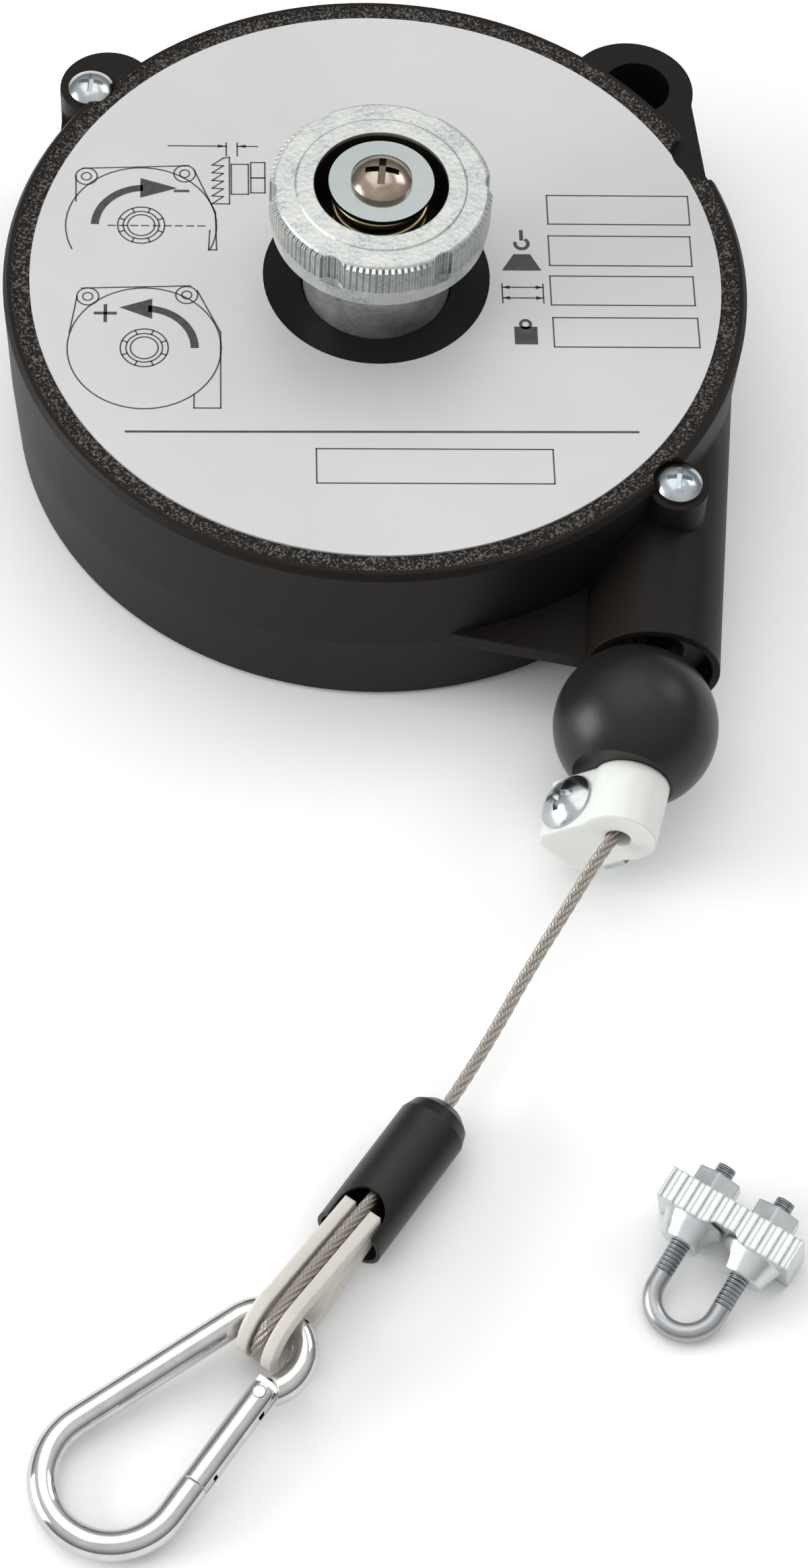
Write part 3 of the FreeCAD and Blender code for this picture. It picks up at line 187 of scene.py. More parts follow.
class Nodes:
    """A short way to write a node tree that ends in one shader."""

    def __init__(self, tree: bpy.types.NodeTree, shader: bpy.types.Node) -> None:
        self.tree = tree
        self.shader = shader

    @classmethod
    def of(cls, material: bpy.types.Material) -> Nodes:
        """The tree of a material, ending in its principled shader."""
        material.use_nodes = True
        return cls(material.node_tree, material.node_tree.nodes["Principled BSDF"])

    def add(self, kind: str, inputs: dict | None = None, **settings) -> bpy.types.Node:
        """Add one node.

        Args:
            kind: the node's type, such as ShaderNodeMath.
            inputs: socket name or number to a value or to another node's output.
            **settings: the node's own properties.

        Returns:
            The new node.
        """
        made = self.tree.nodes.new(kind)
        for name, value in settings.items():
            setattr(made, name, value)
        for name, value in (inputs or {}).items():
            self.put(made.inputs[name], value)
        return made

    def put(self, socket: bpy.types.NodeSocket, value: Feed) -> None:
        """Set a socket to a value, or link it to an output."""
        if isinstance(value, bpy.types.NodeSocket):
            self.tree.links.new(value, socket)
        else:
            socket.default_value = value

    def set(self, name: str, value: Feed) -> None:
        """Set or link one of the shader's own sockets."""
        self.put(self.shader.inputs[name], value)

    def maths(self, operation: str, *values: Feed) -> bpy.types.NodeSocket:
        """The result of one maths node."""
        made = self.add("ShaderNodeMath", operation=operation)
        for socket, value in zip(made.inputs, values):
            self.put(socket, value)
        return made.outputs[0]

    def place(self) -> bpy.types.NodeSocket:
        """Where the surface lies, in the object's own space."""
        return self.add("ShaderNodeTexCoord").outputs["Object"]

    def noise(self, scale: float, detail: float = 3.0, distortion: float = 0.0) -> bpy.types.NodeSocket:
        """A noise between 0 and 1 over the object's own space."""
        made = self.add("ShaderNodeTexNoise", {
            "Vector": self.place(), "Scale": scale, "Detail": detail, "Distortion": distortion,
        })
        return made.outputs["Fac"]

    def ramp(self, factor: bpy.types.NodeSocket, low: float, high: float,
             start: float = 0.0, end: float = 1.0) -> bpy.types.NodeSocket:
        """start below low, end above high."""
        made = self.add("ShaderNodeMapRange", {
            "Value": factor, "From Min": low, "From Max": high, "To Min": start, "To Max": end,
        })
        return made.outputs[0]

    def mix(self, factor: Feed, first: Feed, second: Feed) -> bpy.types.NodeSocket:
        """A mix of two colours, each a triple or an output."""
        made = self.add("ShaderNodeMix", data_type="RGBA")
        self.put(made.inputs[0], factor)
        for socket, value in ((made.inputs[6], first), (made.inputs[7], second)):
            self.put(socket, (*value, 1.0) if isinstance(value, tuple) else value)
        return made.outputs[2]

    def blotches(self, finish: Finish) -> bpy.types.NodeSocket:
        """The soft blotches of a finish, between 0 and 1."""
        return self.noise(finish.blotch_scale, detail=4.0, distortion=0.4)

    def two_tones(self, finish: Finish, first: bpy.types.NodeSocket | None = None) -> bpy.types.NodeSocket:
        """A finish's second colour in blotches over its main one, or over another colour."""
        share = self.ramp(self.blotches(finish), low=0.35, high=0.65)
        return self.mix(share, finish.colour if first is None else first, finish.second_colour)

    def bump(self, height: bpy.types.NodeSocket, depth: float,
             below: bpy.types.NodeSocket | None = None) -> bpy.types.NodeSocket:
        """A surface normal pushed by a height of the given depth in metres."""
        made = self.add("ShaderNodeBump", {"Height": height, "Distance": depth, "Strength": 1.0})
        if below is not None:
            self.put(made.inputs["Normal"], below)
        return made.outputs["Normal"]

    def axes(self, where: bpy.types.NodeSocket) -> tuple[bpy.types.NodeSocket, ...]:
        """The three coordinates of a place."""
        split = self.add("ShaderNodeSeparateXYZ", {0: where})
        return split.outputs[0], split.outputs[1], split.outputs[2]

    def along(self, origin: Vector, direction: Vector) -> bpy.types.NodeSocket:
        """How far the surface lies from the origin along a direction, in metres."""
        x, y, z = self.axes(self.place())
        reach = self.maths("MULTIPLY_ADD", x, direction.x, -origin.dot(direction))
        reach = self.maths("MULTIPLY_ADD", y, direction.y, reach)
        return self.maths("MULTIPLY_ADD", z, direction.z, reach)

    def from_axis(self) -> bpy.types.NodeSocket:
        """How far the surface lies from the drum's axis."""
        x, y, _ = self.axes(self.place())
        return self.maths("SQRT", self.maths("MULTIPLY_ADD", x, x, self.maths("MULTIPLY", y, y)))

    def within(self, value: bpy.types.NodeSocket, low: float, high: float) -> bpy.types.NodeSocket:
        """1 between low and high, 0 elsewhere."""
        return self.maths("MULTIPLY", self.maths("GREATER_THAN", value, low),
                          self.maths("LESS_THAN", value, high))


Extra = Callable[[Nodes, Finish, bpy.types.NodeSocket], None]


class Paint:
    """Makes each slot's material once and gives it to objects."""

    def __init__(self) -> None:
        self.made: dict[str, bpy.types.Material] = {}

    def material(self, slot: Slot, extra: Extra | None = None,
                 name: str | None = None) -> bpy.types.Material:
        """The material of a slot.

        Args:
            slot: whose finish it takes.
            extra: adds what only this piece has, given the nodes, the finish and the grain's normal.
            name: a name of its own, for a material with an extra.

        Returns:
            The material, made at its first use.
        """
        title = name or slot.value
        if title in self.made:
            return self.made[title]
        material = bpy.data.materials.new(title)
        finish = FINISHES[slot]
        nodes = Nodes.of(material)
        nodes.set("Metallic", finish.metallic)
        nodes.set("Specular IOR Level", finish.specular)
        nodes.set("Base Color", nodes.two_tones(finish))
        nodes.set("Roughness", nodes.maths("MULTIPLY_ADD", nodes.blotches(finish),
                                           finish.roughness_spread * 2,
                                           finish.roughness - finish.roughness_spread))
        if finish.subsurface:
            nodes.set("Subsurface Weight", finish.subsurface)
            nodes.set("Subsurface Radius", finish.subsurface_tint)
            nodes.set("Subsurface Scale", finish.subsurface_depth)
        soft = nodes.add("ShaderNodeBevel", {"Radius": finish.edge}).outputs[0] if finish.edge else None
        grain = nodes.bump(nodes.noise(finish.grain_scale, detail=2.0), finish.grain_depth, soft)
        nodes.set("Normal", grain)
        if extra:
            extra(nodes, finish, grain)
        self.made[title] = material
        return material

    def give(self, obj: bpy.types.Object, material: bpy.types.Material, slot: Slot) -> None:
        """Paint an object."""
        obj.data.materials.clear()
        obj.data.materials.append(material)


# ---- forms


def mesh_object(name: str, points: Sequence[Vector], faces: Sequence[Sequence[int]]) -> bpy.types.Object:
    """A new mesh object in the scene."""
    mesh = bpy.data.meshes.new(name)
    mesh.from_pydata([tuple(point) for point in points], [], [list(face) for face in faces])
    mesh.validate()
    obj = bpy.data.objects.new(name, mesh)
    bpy.context.scene.collection.objects.link(obj)
    return obj


def smooth_line(route: Sequence[Point]) -> list[Vector]:
    """Close points, in metres, along the line that control points in millimetres give."""
    curve = bpy.data.curves.new("centreline", "CURVE")
    curve.dimensions = "3D"
    spline = curve.splines.new("NURBS")
    spline.points.add(len(route) - 1)
    for control, point in zip(spline.points, route):
        control.co = (*(Vector(point) * MM), 1.0)
    spline.order_u = 3
    spline.use_endpoint_u = True
    spline.resolution_u = 24
    holder = bpy.data.objects.new("centreline", curve)
    line = bpy.data.meshes.new_from_object(holder)
    points = [vertex.co.copy() for vertex in line.vertices]
    bpy.data.objects.remove(holder)
    bpy.data.meshes.remove(line)
    return points


def centreline(route: Sequence[Point], step: float) -> list[Vector]:
    """Points at an even step along the smooth line of a route.

    Args:
        route: the control points, in millimetres.
        step: the distance between the points returned, in metres.

    Returns:
        The points, in metres, from the line's start to its end.
    """
    fine = smooth_line(route)
    reach = [0.0]
    for before, after in zip(fine, fine[1:]):
        reach.append(reach[-1] + (after - before).length)
    count = max(2, round(reach[-1] / step))
    even = []
    index = 0
    for number in range(count + 1):
        target = reach[-1] * number / count
        while index < len(reach) - 2 and reach[index + 1] < target:
            index += 1
        share = (target - reach[index]) / (reach[index + 1] - reach[index])
        even.append(fine[index].lerp(fine[index + 1], share))
    return even


def swept(name: str, path: Sequence[Vector], reaches: Sequence[float],
          lay: float = math.inf) -> tuple[bpy.types.Object, list[float]]:
    """A closed bar whose outline follows a path.

    Args:
        name: the object's name.
        path: points of the centreline.
        reaches: how far the outline lies from the path, at even steps round it.
        lay: the length in which the outline turns once round the path.

    Returns:
        The object, and how far the outline has turned at each point of the path, in radians.
    """
    count = len(reaches)
    points: list[Vector] = []
    turns: list[float] = []
    side = Vector((0.0, 0.0, 1.0))
    travelled = 0.0
    for index, centre in enumerate(path):
        before, after = path[max(index - 1, 0)], path[min(index + 1, len(path) - 1)]
        tangent = (after - before).normalized()
        side = (side - tangent * side.dot(tangent)).normalized()
        across = tangent.cross(side)
        if index:
            travelled += (centre - path[index - 1]).length
        twist = math.tau * travelled / lay
        turns.append(twist)
        for number, reach in enumerate(reaches):
            aim = math.tau * number / count + twist
            points.append(centre + (side * math.cos(aim) + across * math.sin(aim)) * reach)
    faces: list[tuple[int, ...]] = []
    for ring in range(len(path) - 1):
        for number in range(count):
            first, second = ring * count + number, ring * count + (number + 1) % count
            faces.append((first, second, second + count, first + count))
    last = (len(path) - 1) * count
    faces.append(tuple(reversed(range(count))))
    faces.append(tuple(range(last, last + count)))
    bar = mesh_object(name, points, faces)
    for face in bar.data.polygons:
        face.use_smooth = len(face.vertices) == 4
    return bar, turns


@dataclass(frozen=True)
class WireRope:
    """Wire rope of round strands laid round a core.

    Attributes:
        diameter: over the strands, in metres.
        strands: how many lie round the core.
        lay: the length in which a strand goes round once, in metres.
        samples: points round each strand.
        step: the distance between rings of points, in metres.
        wires_per_strand: how many wires show on a strand.
        wire_depth: how deep the lines between wires are, in metres.
        wire_gap_shade: the painted shade between the wires.
        wire_attribute: names the direction round the rope on the mesh.
    """

    diameter: float = 0.0020
    strands: int = 6
    lay: float = 0.0125
    samples: int = 8
    step: float = 0.0005
    wires_per_strand: int = 4
    wire_depth: float = 0.00003
    # painted shade between the wires
    wire_gap_shade: Colour = (0.20, 0.18, 0.16)
    wire_attribute: str = "wire"

    def reach(self, turn: float) -> float:
        """How far the outside lies from the centre, in a direction measured from a groove.

        A strand is a third of the rope across, and its centre lies two of its radii out.
        """
        strand = self.diameter / 6
        ring = strand * 2
        pitch = math.tau / self.strands
        off = (turn % pitch) - pitch / 2
        return ring * math.cos(off) + math.sqrt(max(0.0, strand ** 2 - (ring * math.sin(off)) ** 2))

    def build(self, name: str, path: Sequence[Vector]) -> bpy.types.Object:
        """A closed mesh of the rope along a path.

        Args:
            name: the object's name.
            path: evenly spaced points of the centreline.

        Returns:
            The object, with the direction round the rope kept on each face corner for its wires.
        """
        count = self.strands * self.samples
        reaches = [self.reach(math.tau * number / count) for number in range(count)]
        rope, turns = swept(name, path, reaches, self.lay)
        self.mark_wires(rope, turns, count)
        return rope

    def mark_wires(self, rope: bpy.types.Object, turns: Sequence[float], count: int) -> None:
        """Keep each face corner's direction round the rope, in turns."""
        marks = rope.data.attributes.new(self.wire_attribute, "FLOAT", "CORNER")
        values = [0.0] * len(rope.data.loops)
        for face in rope.data.polygons:
            if len(face.vertices) != 4:
                continue
            numbers = [rope.data.loops[loop].vertex_index % count for loop in face.loop_indices]
            wraps = max(numbers) - min(numbers) > count // 2
            for loop, number in zip(face.loop_indices, numbers):
                ring = rope.data.loops[loop].vertex_index // count
                around = number + count if wraps and number < count // 2 else number
                values[loop] = around / count + turns[ring] / math.tau
        marks.data.foreach_set("value", values)

    def wires(self, nodes: Nodes, finish: Finish, grain: bpy.types.NodeSocket) -> None:
        """Fine wires along the strands, with painted shade between them."""
        around = nodes.add("ShaderNodeAttribute", attribute_name=self.wire_attribute).outputs["Fac"]
        waves = math.tau * self.strands * self.wires_per_strand
        wave = nodes.maths("SINE", nodes.maths("MULTIPLY", around, waves))
        nodes.set("Normal", nodes.bump(wave, self.wire_depth, grain))
        # painted shade in the valleys between the wires
        nodes.set("Base Color", nodes.mix(nodes.ramp(wave, -1.0, -0.2), self.wire_gap_shade, finish.colour))


@dataclass(frozen=True)
class Sheet:
    """A flat place to draw on, with its two directions."""

    centre: Vector
    right: Vector
    up: Vector

    def at(self, x: float, y: float, lift: float) -> Vector:
        """The point x to the right and y up from the centre, raised off the surface by lift."""
        return self.centre + self.right * x + self.up * y + self.right.cross(self.up) * lift


@dataclass
class Pen:
    """Draws thin flat marks, in millimetres, on a place.

    Attributes:
        sheet: where it draws.
        lift: how far the marks stand off the surface, in metres.
        arc_step_deg: the angle that one piece of an arc spans.
        points: the corners drawn so far.
        faces: the marks drawn so far, as numbers of corners.
    """

    sheet: Sheet
    lift: float = 0.00003
    arc_step_deg: float = 6.0
    points: list[Vector] = field(default_factory=list)
    faces: list[tuple[int, ...]] = field(default_factory=list)

    def patch(self, corners: Iterable[Mark]) -> None:
        """A filled flat shape."""
        start = len(self.points)
        self.points += [self.sheet.at(x * MM, y * MM, self.lift) for x, y in corners]
        self.faces.append(tuple(range(start, len(self.points))))

    def stroke(self, path: Sequence[Mark], width: float, closed: bool = False) -> None:
        """A line of even width along a path."""
        path = list(path) + ([path[0]] if closed else [])
        for (x1, y1), (x2, y2) in zip(path, path[1:]):
            length = math.hypot(x2 - x1, y2 - y1)
            along = ((x2 - x1) / length * width / 2, (y2 - y1) / length * width / 2)
            across = (-along[1], along[0])
            self.patch([
                (x1 - along[0] + across[0], y1 - along[1] + across[1]),
                (x1 - along[0] - across[0], y1 - along[1] - across[1]),
                (x2 + along[0] - across[0], y2 + along[1] - across[1]),
                (x2 + along[0] + across[0], y2 + along[1] + across[1]),
            ])

    def dashes(self, start: Mark, end: Mark, width: float, count: int, fill: float = 0.6) -> None:
        """A broken line of count dashes, each of which fills a share of its step."""
        run, rise = end[0] - start[0], end[1] - start[1]
        for index in range(count):
            shares = (index / count, (index + fill) / count)
            self.stroke([(start[0] + run * share, start[1] + rise * share) for share in shares], width)

    def arc(self, centre: Mark, radius: float, start_deg: float, end_deg: float, width: float) -> None:
        """Part of a ring."""
        steps = max(8, int(abs(end_deg - start_deg) / self.arc_step_deg))
        turns = [math.radians(start_deg + (end_deg - start_deg) * step / steps) for step in range(steps + 1)]
        for first, last in zip(turns, turns[1:]):
            self.patch([
                (centre[0] + reach * math.cos(turn), centre[1] + reach * math.sin(turn))
                for reach, turn in (
                    (radius - width / 2, first), (radius + width / 2, first),
                    (radius + width / 2, last), (radius - width / 2, last),
                )
            ])

    def ring(self, centre: Mark, radius: float, width: float) -> None:
        """A whole ring."""
        self.arc(centre, radius, 0, 360, width)

    def rectangle(self, low: Mark, high: Mark, width: float) -> None:
        """The outline of an empty box."""
        self.stroke([low, (high[0], low[1]), high, (low[0], high[1])], width, closed=True)

    def finish(self, name: str) -> bpy.types.Object:
        """All the marks as one object."""
        return mesh_object(name, self.points, self.faces)


# ---- camera, floor and light


@dataclass(frozen=True)
class Panel:
    """A square light: its name, its place, its side in metres and its power in watts."""

    name: str
    place: Point
    side: float
    watts: float


@dataclass(frozen=True)
class Studio:
    """The view of the object from above, its pale floor and its soft lights.

    Attributes:
        eye: where the camera stands.
        elevation_deg: how far the camera looks down.
        roll_deg: how far the picture is turned about its middle.
        lens_mm: the lens's focal length.
        sensor_mm: the sensor's longer side.
        sight: the nearest and farthest distance that the camera sees, in metres.
        floor_size: the floor's side, in metres.
        low_light: the surrounding light's strength at the horizon.
        high_light: its strength overhead.
        horizon: the heights between which it turns from one to the other.
        lit_point: what the panels face.
        panels: the square lights.
    """

    eye: Point = (0.0107, -0.4195, 0.5384)
    elevation_deg: float = 57.37
    roll_deg: float = 4.38
    lens_mm: float = 92.70386
    sensor_mm: float = 36.0
    sight: tuple[float, float] = (0.01, 20.0)
    floor_size: float = 24.0
    floor_colour: Colour = (0.97, 0.97, 0.97)
    low_light: float = 0.20
    high_light: float = 0.82
    horizon: tuple[float, float] = (0.15, 0.75)
    lit_point: Point = (0.0, -0.05, 0.0)
    panels: tuple[Panel, ...] = (
        Panel("top_light", (-0.15, 0.25, 1.1), 1.1, 3.6),
        Panel("left_light", (-1.0, -0.25, 0.3), 0.6, 9.0),
        Panel("right_light", (0.8, 0.5, 0.8), 0.5, 2.0),
    )

    def build(self) -> None:
        """Place the camera, the floor, the lights and the surrounding light."""
        self.place_camera()
        self.lay_floor()
        self.hang_lights()
        scene = bpy.context.scene
        scene.view_settings.view_transform = "Standard"
        scene.view_settings.look = "None"

    def place_camera(self) -> None:
        """The camera looks down at the floor with a small roll and no shift."""
        camera = bpy.data.cameras.new("camera")
        camera.sensor_fit = "AUTO"
        camera.sensor_width = self.sensor_mm
        camera.lens = self.lens_mm
        camera.clip_start, camera.clip_end = self.sight
        tilt, roll = math.radians(self.elevation_deg), math.radians(self.roll_deg)
        back = Vector((0.0, -math.cos(tilt), math.sin(tilt)))
        level_up = Vector((0.0, math.sin(tilt), math.cos(tilt)))
        level_right = Vector((1.0, 0.0, 0.0))
        right = level_right * math.cos(roll) + level_up * math.sin(roll)
        up = level_up * math.cos(roll) - level_right * math.sin(roll)
        turn = Matrix((right, up, back)).transposed().to_4x4()
        obj = bpy.data.objects.new("camera", camera)
        obj.matrix_world = Matrix.Translation(Vector(self.eye)) @ turn
        bpy.context.scene.collection.objects.link(obj)
        bpy.context.scene.camera = obj

    def lay_floor(self) -> None:
        """A wide plain floor at the height of the casing's back."""
        half = self.floor_size / 2
        signs = ((-1, -1), (1, -1), (1, 1), (-1, 1))
        floor = mesh_object("floor", [Vector((x * half, y * half, 0.0)) for x, y in signs], [(0, 1, 2, 3)])
        material = bpy.data.materials.new("floor")
        nodes = Nodes.of(material)
        nodes.set("Base Color", (*self.floor_colour, 1.0))
        nodes.set("Roughness", 0.8)
        nodes.set("Specular IOR Level", 0.05)
        floor.data.materials.append(material)

    def hang_lights(self) -> None:
        """A wide panel overhead, one at each side, and a surrounding light that is dimmer low down."""
        for panel in self.panels:
            self.hang_panel(panel)
        world = bpy.data.worlds.new("studio")
        bpy.context.scene.world = world
        world.use_nodes = True
        nodes = Nodes(world.node_tree, world.node_tree.nodes["Background"])
        direction = nodes.add("ShaderNodeTexCoord").outputs["Generated"]
        height = nodes.axes(direction)[2]
        low, high = self.horizon
        nodes.set("Color", (1.0, 1.0, 1.0, 1.0))
        nodes.set("Strength", nodes.ramp(height, low, high, self.low_light, self.high_light))

    def hang_panel(self, panel: Panel) -> None:
        """One square light that faces the object."""
        light = bpy.data.lights.new(panel.name, "AREA")
        light.size = panel.side
        light.energy = panel.watts
        obj = bpy.data.objects.new(panel.name, light)
        obj.location = panel.place
        aim = Vector(self.lit_point) - Vector(panel.place)
        obj.rotation_euler = aim.to_track_quat("-Z", "Y").to_euler()
        bpy.context.scene.collection.objects.link(obj)


# ---- sub-assemblies


@dataclass
class Assembly:
    """A group of CAD nodes, each with its material.

    Attributes:
        paint: makes and gives the materials.
        nodes: the name of each CAD node and its slot.
    """

    frame: dict
    paint: Paint
    nodes: dict[str, Slot] = field(default_factory=dict)

    def build(self) -> None:
        """Paint the group's nodes, then add what only the looks need."""
        for name, slot in self.nodes.items():
            self.paint.give(self.node(name), self.paint.material(slot), slot)
        self.dress()

    def dress(self) -> None:
        """What a group adds to its CAD nodes. Most add nothing."""

    def node(self, name: str) -> bpy.types.Object:
        """The CAD object of a node."""
        return self.frame["nodes"][name]

    def repaint(self, name: str, extra: Extra, material: str) -> None:
        """Give one node a material of its own.

        Args:
            name: the CAD node.
            extra: adds to its slot's material what only this piece has.
            material: the new material's name.
        """
        slot = self.nodes[name]
        self.paint.give(self.node(name), self.paint.material(slot, extra, material), slot)


@dataclass
class Casing(Assembly):
    """The two plastic halves with their screws and the rope's guide.

    Attributes:
        band_width: of the grained band round the name plate.
        band_tuck: how far the band starts under the plate's edge.
        band_drop: how far it goes down from the plate.
        glint_scale: how fine its pale specks of painted highlight are.
    """

    nodes: dict[str, Slot] = field(default_factory=lambda: {
        "rear_case": Slot.CASE,
        "front_case": Slot.CASE,
        "case_screws": Slot.ZINC,
        "rope_guide": Slot.GUIDE,
    })
    band_width: float = 0.0031
    band_tuck: float = 0.0002
    band_drop: float = 0.0003
    band_scale: float = 2300.0
    band_depth: float = 0.0003
    # pale specks of painted highlight on the band's grain
    glint_scale: float = 2600.0
    glint_tone: Colour = (0.150, 0.136, 0.122)

    def dress(self) -> None:
        """The front half has a band of its own round the name plate."""
        self.repaint("front_case", self.grained_band, "case_front")

    def grained_band(self, nodes: Nodes, finish: Finish, grain: bpy.types.NodeSocket) -> None:
        """A coarse grain on the band round the name plate, with pale specks of painted highlight on its
        grain.
        """
        low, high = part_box("name_plate")
        inner = high.x - self.band_tuck
        ring = nodes.within(nodes.from_axis(), inner, inner + self.band_width)
        upper = nodes.maths("GREATER_THAN", nodes.axes(nodes.place())[2], low.z - self.band_drop)
        mask = nodes.maths("MULTIPLY", ring, upper)
        rough = nodes.maths("MULTIPLY", nodes.noise(self.band_scale), mask)
        nodes.set("Normal", nodes.bump(rough, self.band_depth, grain))
        # painted highlight: pale specks where the grain catches the light
        specks = nodes.ramp(nodes.noise(self.glint_scale, 2.0), 0.50, 0.66)
        nodes.set("Base Color", nodes.mix(nodes.maths("MULTIPLY", specks, mask), finish.colour,
                                          self.glint_tone))


@dataclass
class NamePlate(Assembly):
    """The silver plate with plain printed marks and no words. Its drawing is in millimetres.

    Attributes:
        ink: the marks' colour, which wears to ink_wear times as bright.
        turned_deg: how far the print is turned on the casing.
        line: the width of a thin line. Bold, sign, minus, plus and rule are widths too.
        outline_radius: of the casing in the turning diagrams.
        knob_radii: of the knob there, with knob_flutes short lines.
        lug_radii: of the casing's lugs there.
    """

    nodes: dict[str, Slot] = field(default_factory=lambda: {"name_plate": Slot.PLATE})
    ink: Colour = (0.032, 0.030, 0.030)
    ink_wear: float = 1.8
    ink_scale: float = 900.0
    turned_deg: float = 5.2
    line: float = 0.23
    bold: float = 1.3
    sign: float = 0.6
    minus: float = 0.5
    plus: float = 0.55
    rule: float = 0.4
    turn_radius: float = 8.0
    outline_radius: float = 12.2
    knob_radii: tuple[float, ...] = (3.8, 2.9, 2.2)
    knob_flutes: int = 8
    lug_radii: tuple[float, ...] = (1.75, 0.8)

    def dress(self) -> None:
        """Two turning diagrams, a ratchet sketch, four data boxes, a rule and a long box."""
        turn = math.radians(self.turned_deg)
        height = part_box("name_plate")[1].z
        self.pen = Pen(Sheet(
            Vector((0.0, 0.0, height)),
            Vector((math.cos(turn), math.sin(turn), 0.0)),
            Vector((-math.sin(turn), math.cos(turn), 0.0)),
        ))
        self.draw_less()
        self.draw_more()
        self.draw_ratchet()
        self.draw_boxes()
        self.draw_load()
        self.draw_travel()
        self.draw_weight()
        marks = self.pen.finish("plate_marks")
        marks.data.materials.append(self.ink_material())
        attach(marks, Body.HOUSING.value)

    def ink_material(self) -> bpy.types.Material:
        """A dark satin ink, a little uneven."""
        material = bpy.data.materials.new("plate_ink")
        nodes = Nodes.of(material)
        worn = tuple(channel * self.ink_wear for channel in self.ink)
        nodes.set("Base Color", nodes.mix(nodes.ramp(nodes.noise(self.ink_scale), 0.4, 0.7), self.ink, worn))
        nodes.set("Roughness", 0.5)
        return material

    def draw_casing(self, centre: Mark, span: Mark, lugs: Sequence[Mark]) -> None:
        """The casing's round outline, the knob in it and the two lugs at its corners.

        Args:
            centre: the casing's middle.
            span: where its outline starts and ends, in degrees.
            lugs: the middles of the two lugs.
        """
        pen, line = self.pen, self.line
        pen.arc(centre, self.outline_radius, *span, line)
        for radius in self.knob_radii:
            pen.ring(centre, radius, line)
        outer, inner = self.knob_radii[:2]
        for index in range(self.knob_flutes):
            turn = math.tau * (index + 0.5) / self.knob_flutes
            pen.stroke([(centre[0] + reach * math.cos(turn), centre[1] + reach * math.sin(turn))
                        for reach in (inner, outer)], line)
        for lug in lugs:
            for radius in self.lug_radii:
                pen.ring(lug, radius, line)

    def draw_less(self) -> None:
        """Turning the knob clockwise for less pull."""
        pen, line = self.pen, self.line
        self.draw_casing((-37.9, 10.0), (-25, 205), ((-46.9, 20.3), (-30.9, 21.0)))
        pen.stroke([(-47.6, 22.0), (-30.2, 22.7)], line)
        pen.stroke([(-48.6, 20.4), (-48.5, 15.0)], line)
        pen.stroke([(-29.4, 21.9), (-25.9, 12.8), (-25.7, 4.9), (-27.0, 4.9), (-26.8, 9.0)], line)
        pen.dashes((-43.2, 9.9), (-26.9, 9.9), line, 9)
        pen.arc((-37.4, 9.9), self.turn_radius, 178, 92, self.bold)
        pen.patch([(-38.1, 20.0), (-38.1, 15.8), (-32.1, 17.9)])
        pen.stroke([(-32.4, 17.3), (-30.4, 17.3)], self.minus)

    def draw_more(self) -> None:
        """Turning the knob anticlockwise for more pull."""
        pen, line = self.pen, self.line
        centre = (-37.2, -15.3)
        self.draw_casing(centre, (0, 360), ((-46.3, -4.9), (-30.5, -4.5)))
        pen.stroke([(-47.3, -3.2), (-29.9, -2.6)], line)
        pen.stroke([(-48.0, -4.9), (-49.1, -12.3)], line)
        pen.stroke([(-28.8, -3.6), (-25.1, -12.1), (-25.1, -27.3), (-29.3, -27.3), (-29.3, -24.6)], line)
        pen.arc(centre, self.turn_radius, 0, 86, self.bold)
        pen.patch([(-36.0, -5.3), (-36.0, -9.4), (-41.2, -7.1)])
        pen.stroke([(-45.0, -8.3), (-41.9, -8.3)], self.plus)
        pen.stroke([(-43.45, -6.75), (-43.45, -9.85)], self.plus)

    def draw_ratchet(self) -> None:
        """A side view of the toothed disc and spindle, with the knob's lift."""
        pen, line = self.pen, self.line
        teeth = [(-23.6, 14.6), (-23.6, 24.6)]
        for index in range(6):
            base = 24.4 - index * 1.65
            teeth += [(-24.6, base), (-26.4, base - 1.5)]
        pen.stroke(teeth, line, closed=True)
        pen.rectangle((-23.3, 16.7), (-20.5, 23.1), line)
        pen.rectangle((-20.1, 20.2), (-17.8, 23.5), line)
        pen.rectangle((-20.1, 17.0), (-17.8, 20.2), line)
        for tip, tail, end in ((-24.1, -25.5, -33.6), (-22.3, -20.9, -19.0)):
            pen.stroke([(tip, 27.0), (end, 27.0)], line)
            pen.patch([(tip, 27.0), (tail, 27.35), (tail, 26.65)])
            pen.stroke([(tip, 24.9), (tip, 27.7)], line)

    def draw_boxes(self) -> None:
        """Four empty data boxes, and a rule above a long box."""
        pen, line = self.pen, self.line
        for low, high in (
            ((28.2, 10.8), (51.4, 16.9)),
            ((28.1, 2.1), (51.2, 8.3)),
            ((28.0, -6.1), (51.2, -0.1)),
            ((28.1, -14.7), (51.4, -8.7)),
        ):
            pen.rectangle(low, high, line)
        pen.stroke([(-39.9, -32.0), (40.5, -31.7)], self.rule)
        pen.rectangle((-10.2, -41.9), (26.9, -35.2), line)

    def draw_load(self) -> None:
        """A hook with a load hanging from it."""
        pen = self.pen
        pen.patch([(22.3, 4.4), (25.0, 4.4), (26.7, 1.0), (20.3, 1.0)])
        pen.arc((23.7, 6.6), 1.05, -200, 60, self.sign)
        pen.stroke([(23.7, 7.6), (23.7, 9.2)], self.sign)

    def draw_travel(self) -> None:
        """Two double arrows between upright lines."""
        pen, line = self.pen, self.line
        for x in (20.2, 26.8):
            pen.stroke([(x, -5.7), (x, -1.8)], line)
        for y in (-2.5, -4.7):
            pen.stroke([(20.2, y), (26.8, y)], line)
            for tip, tail in ((20.3, 21.4), (26.7, 25.6)):
                pen.patch([(tip, y), (tail, y + 0.4), (tail, y - 0.4)])

    def draw_weight(self) -> None:
        """A block with a ring on top."""
        pen = self.pen
        pen.patch([(21.8, -14.2), (25.5, -14.2), (25.5, -10.6), (21.8, -10.6)])
        pen.ring((23.65, -10.1), 0.8, self.minus)


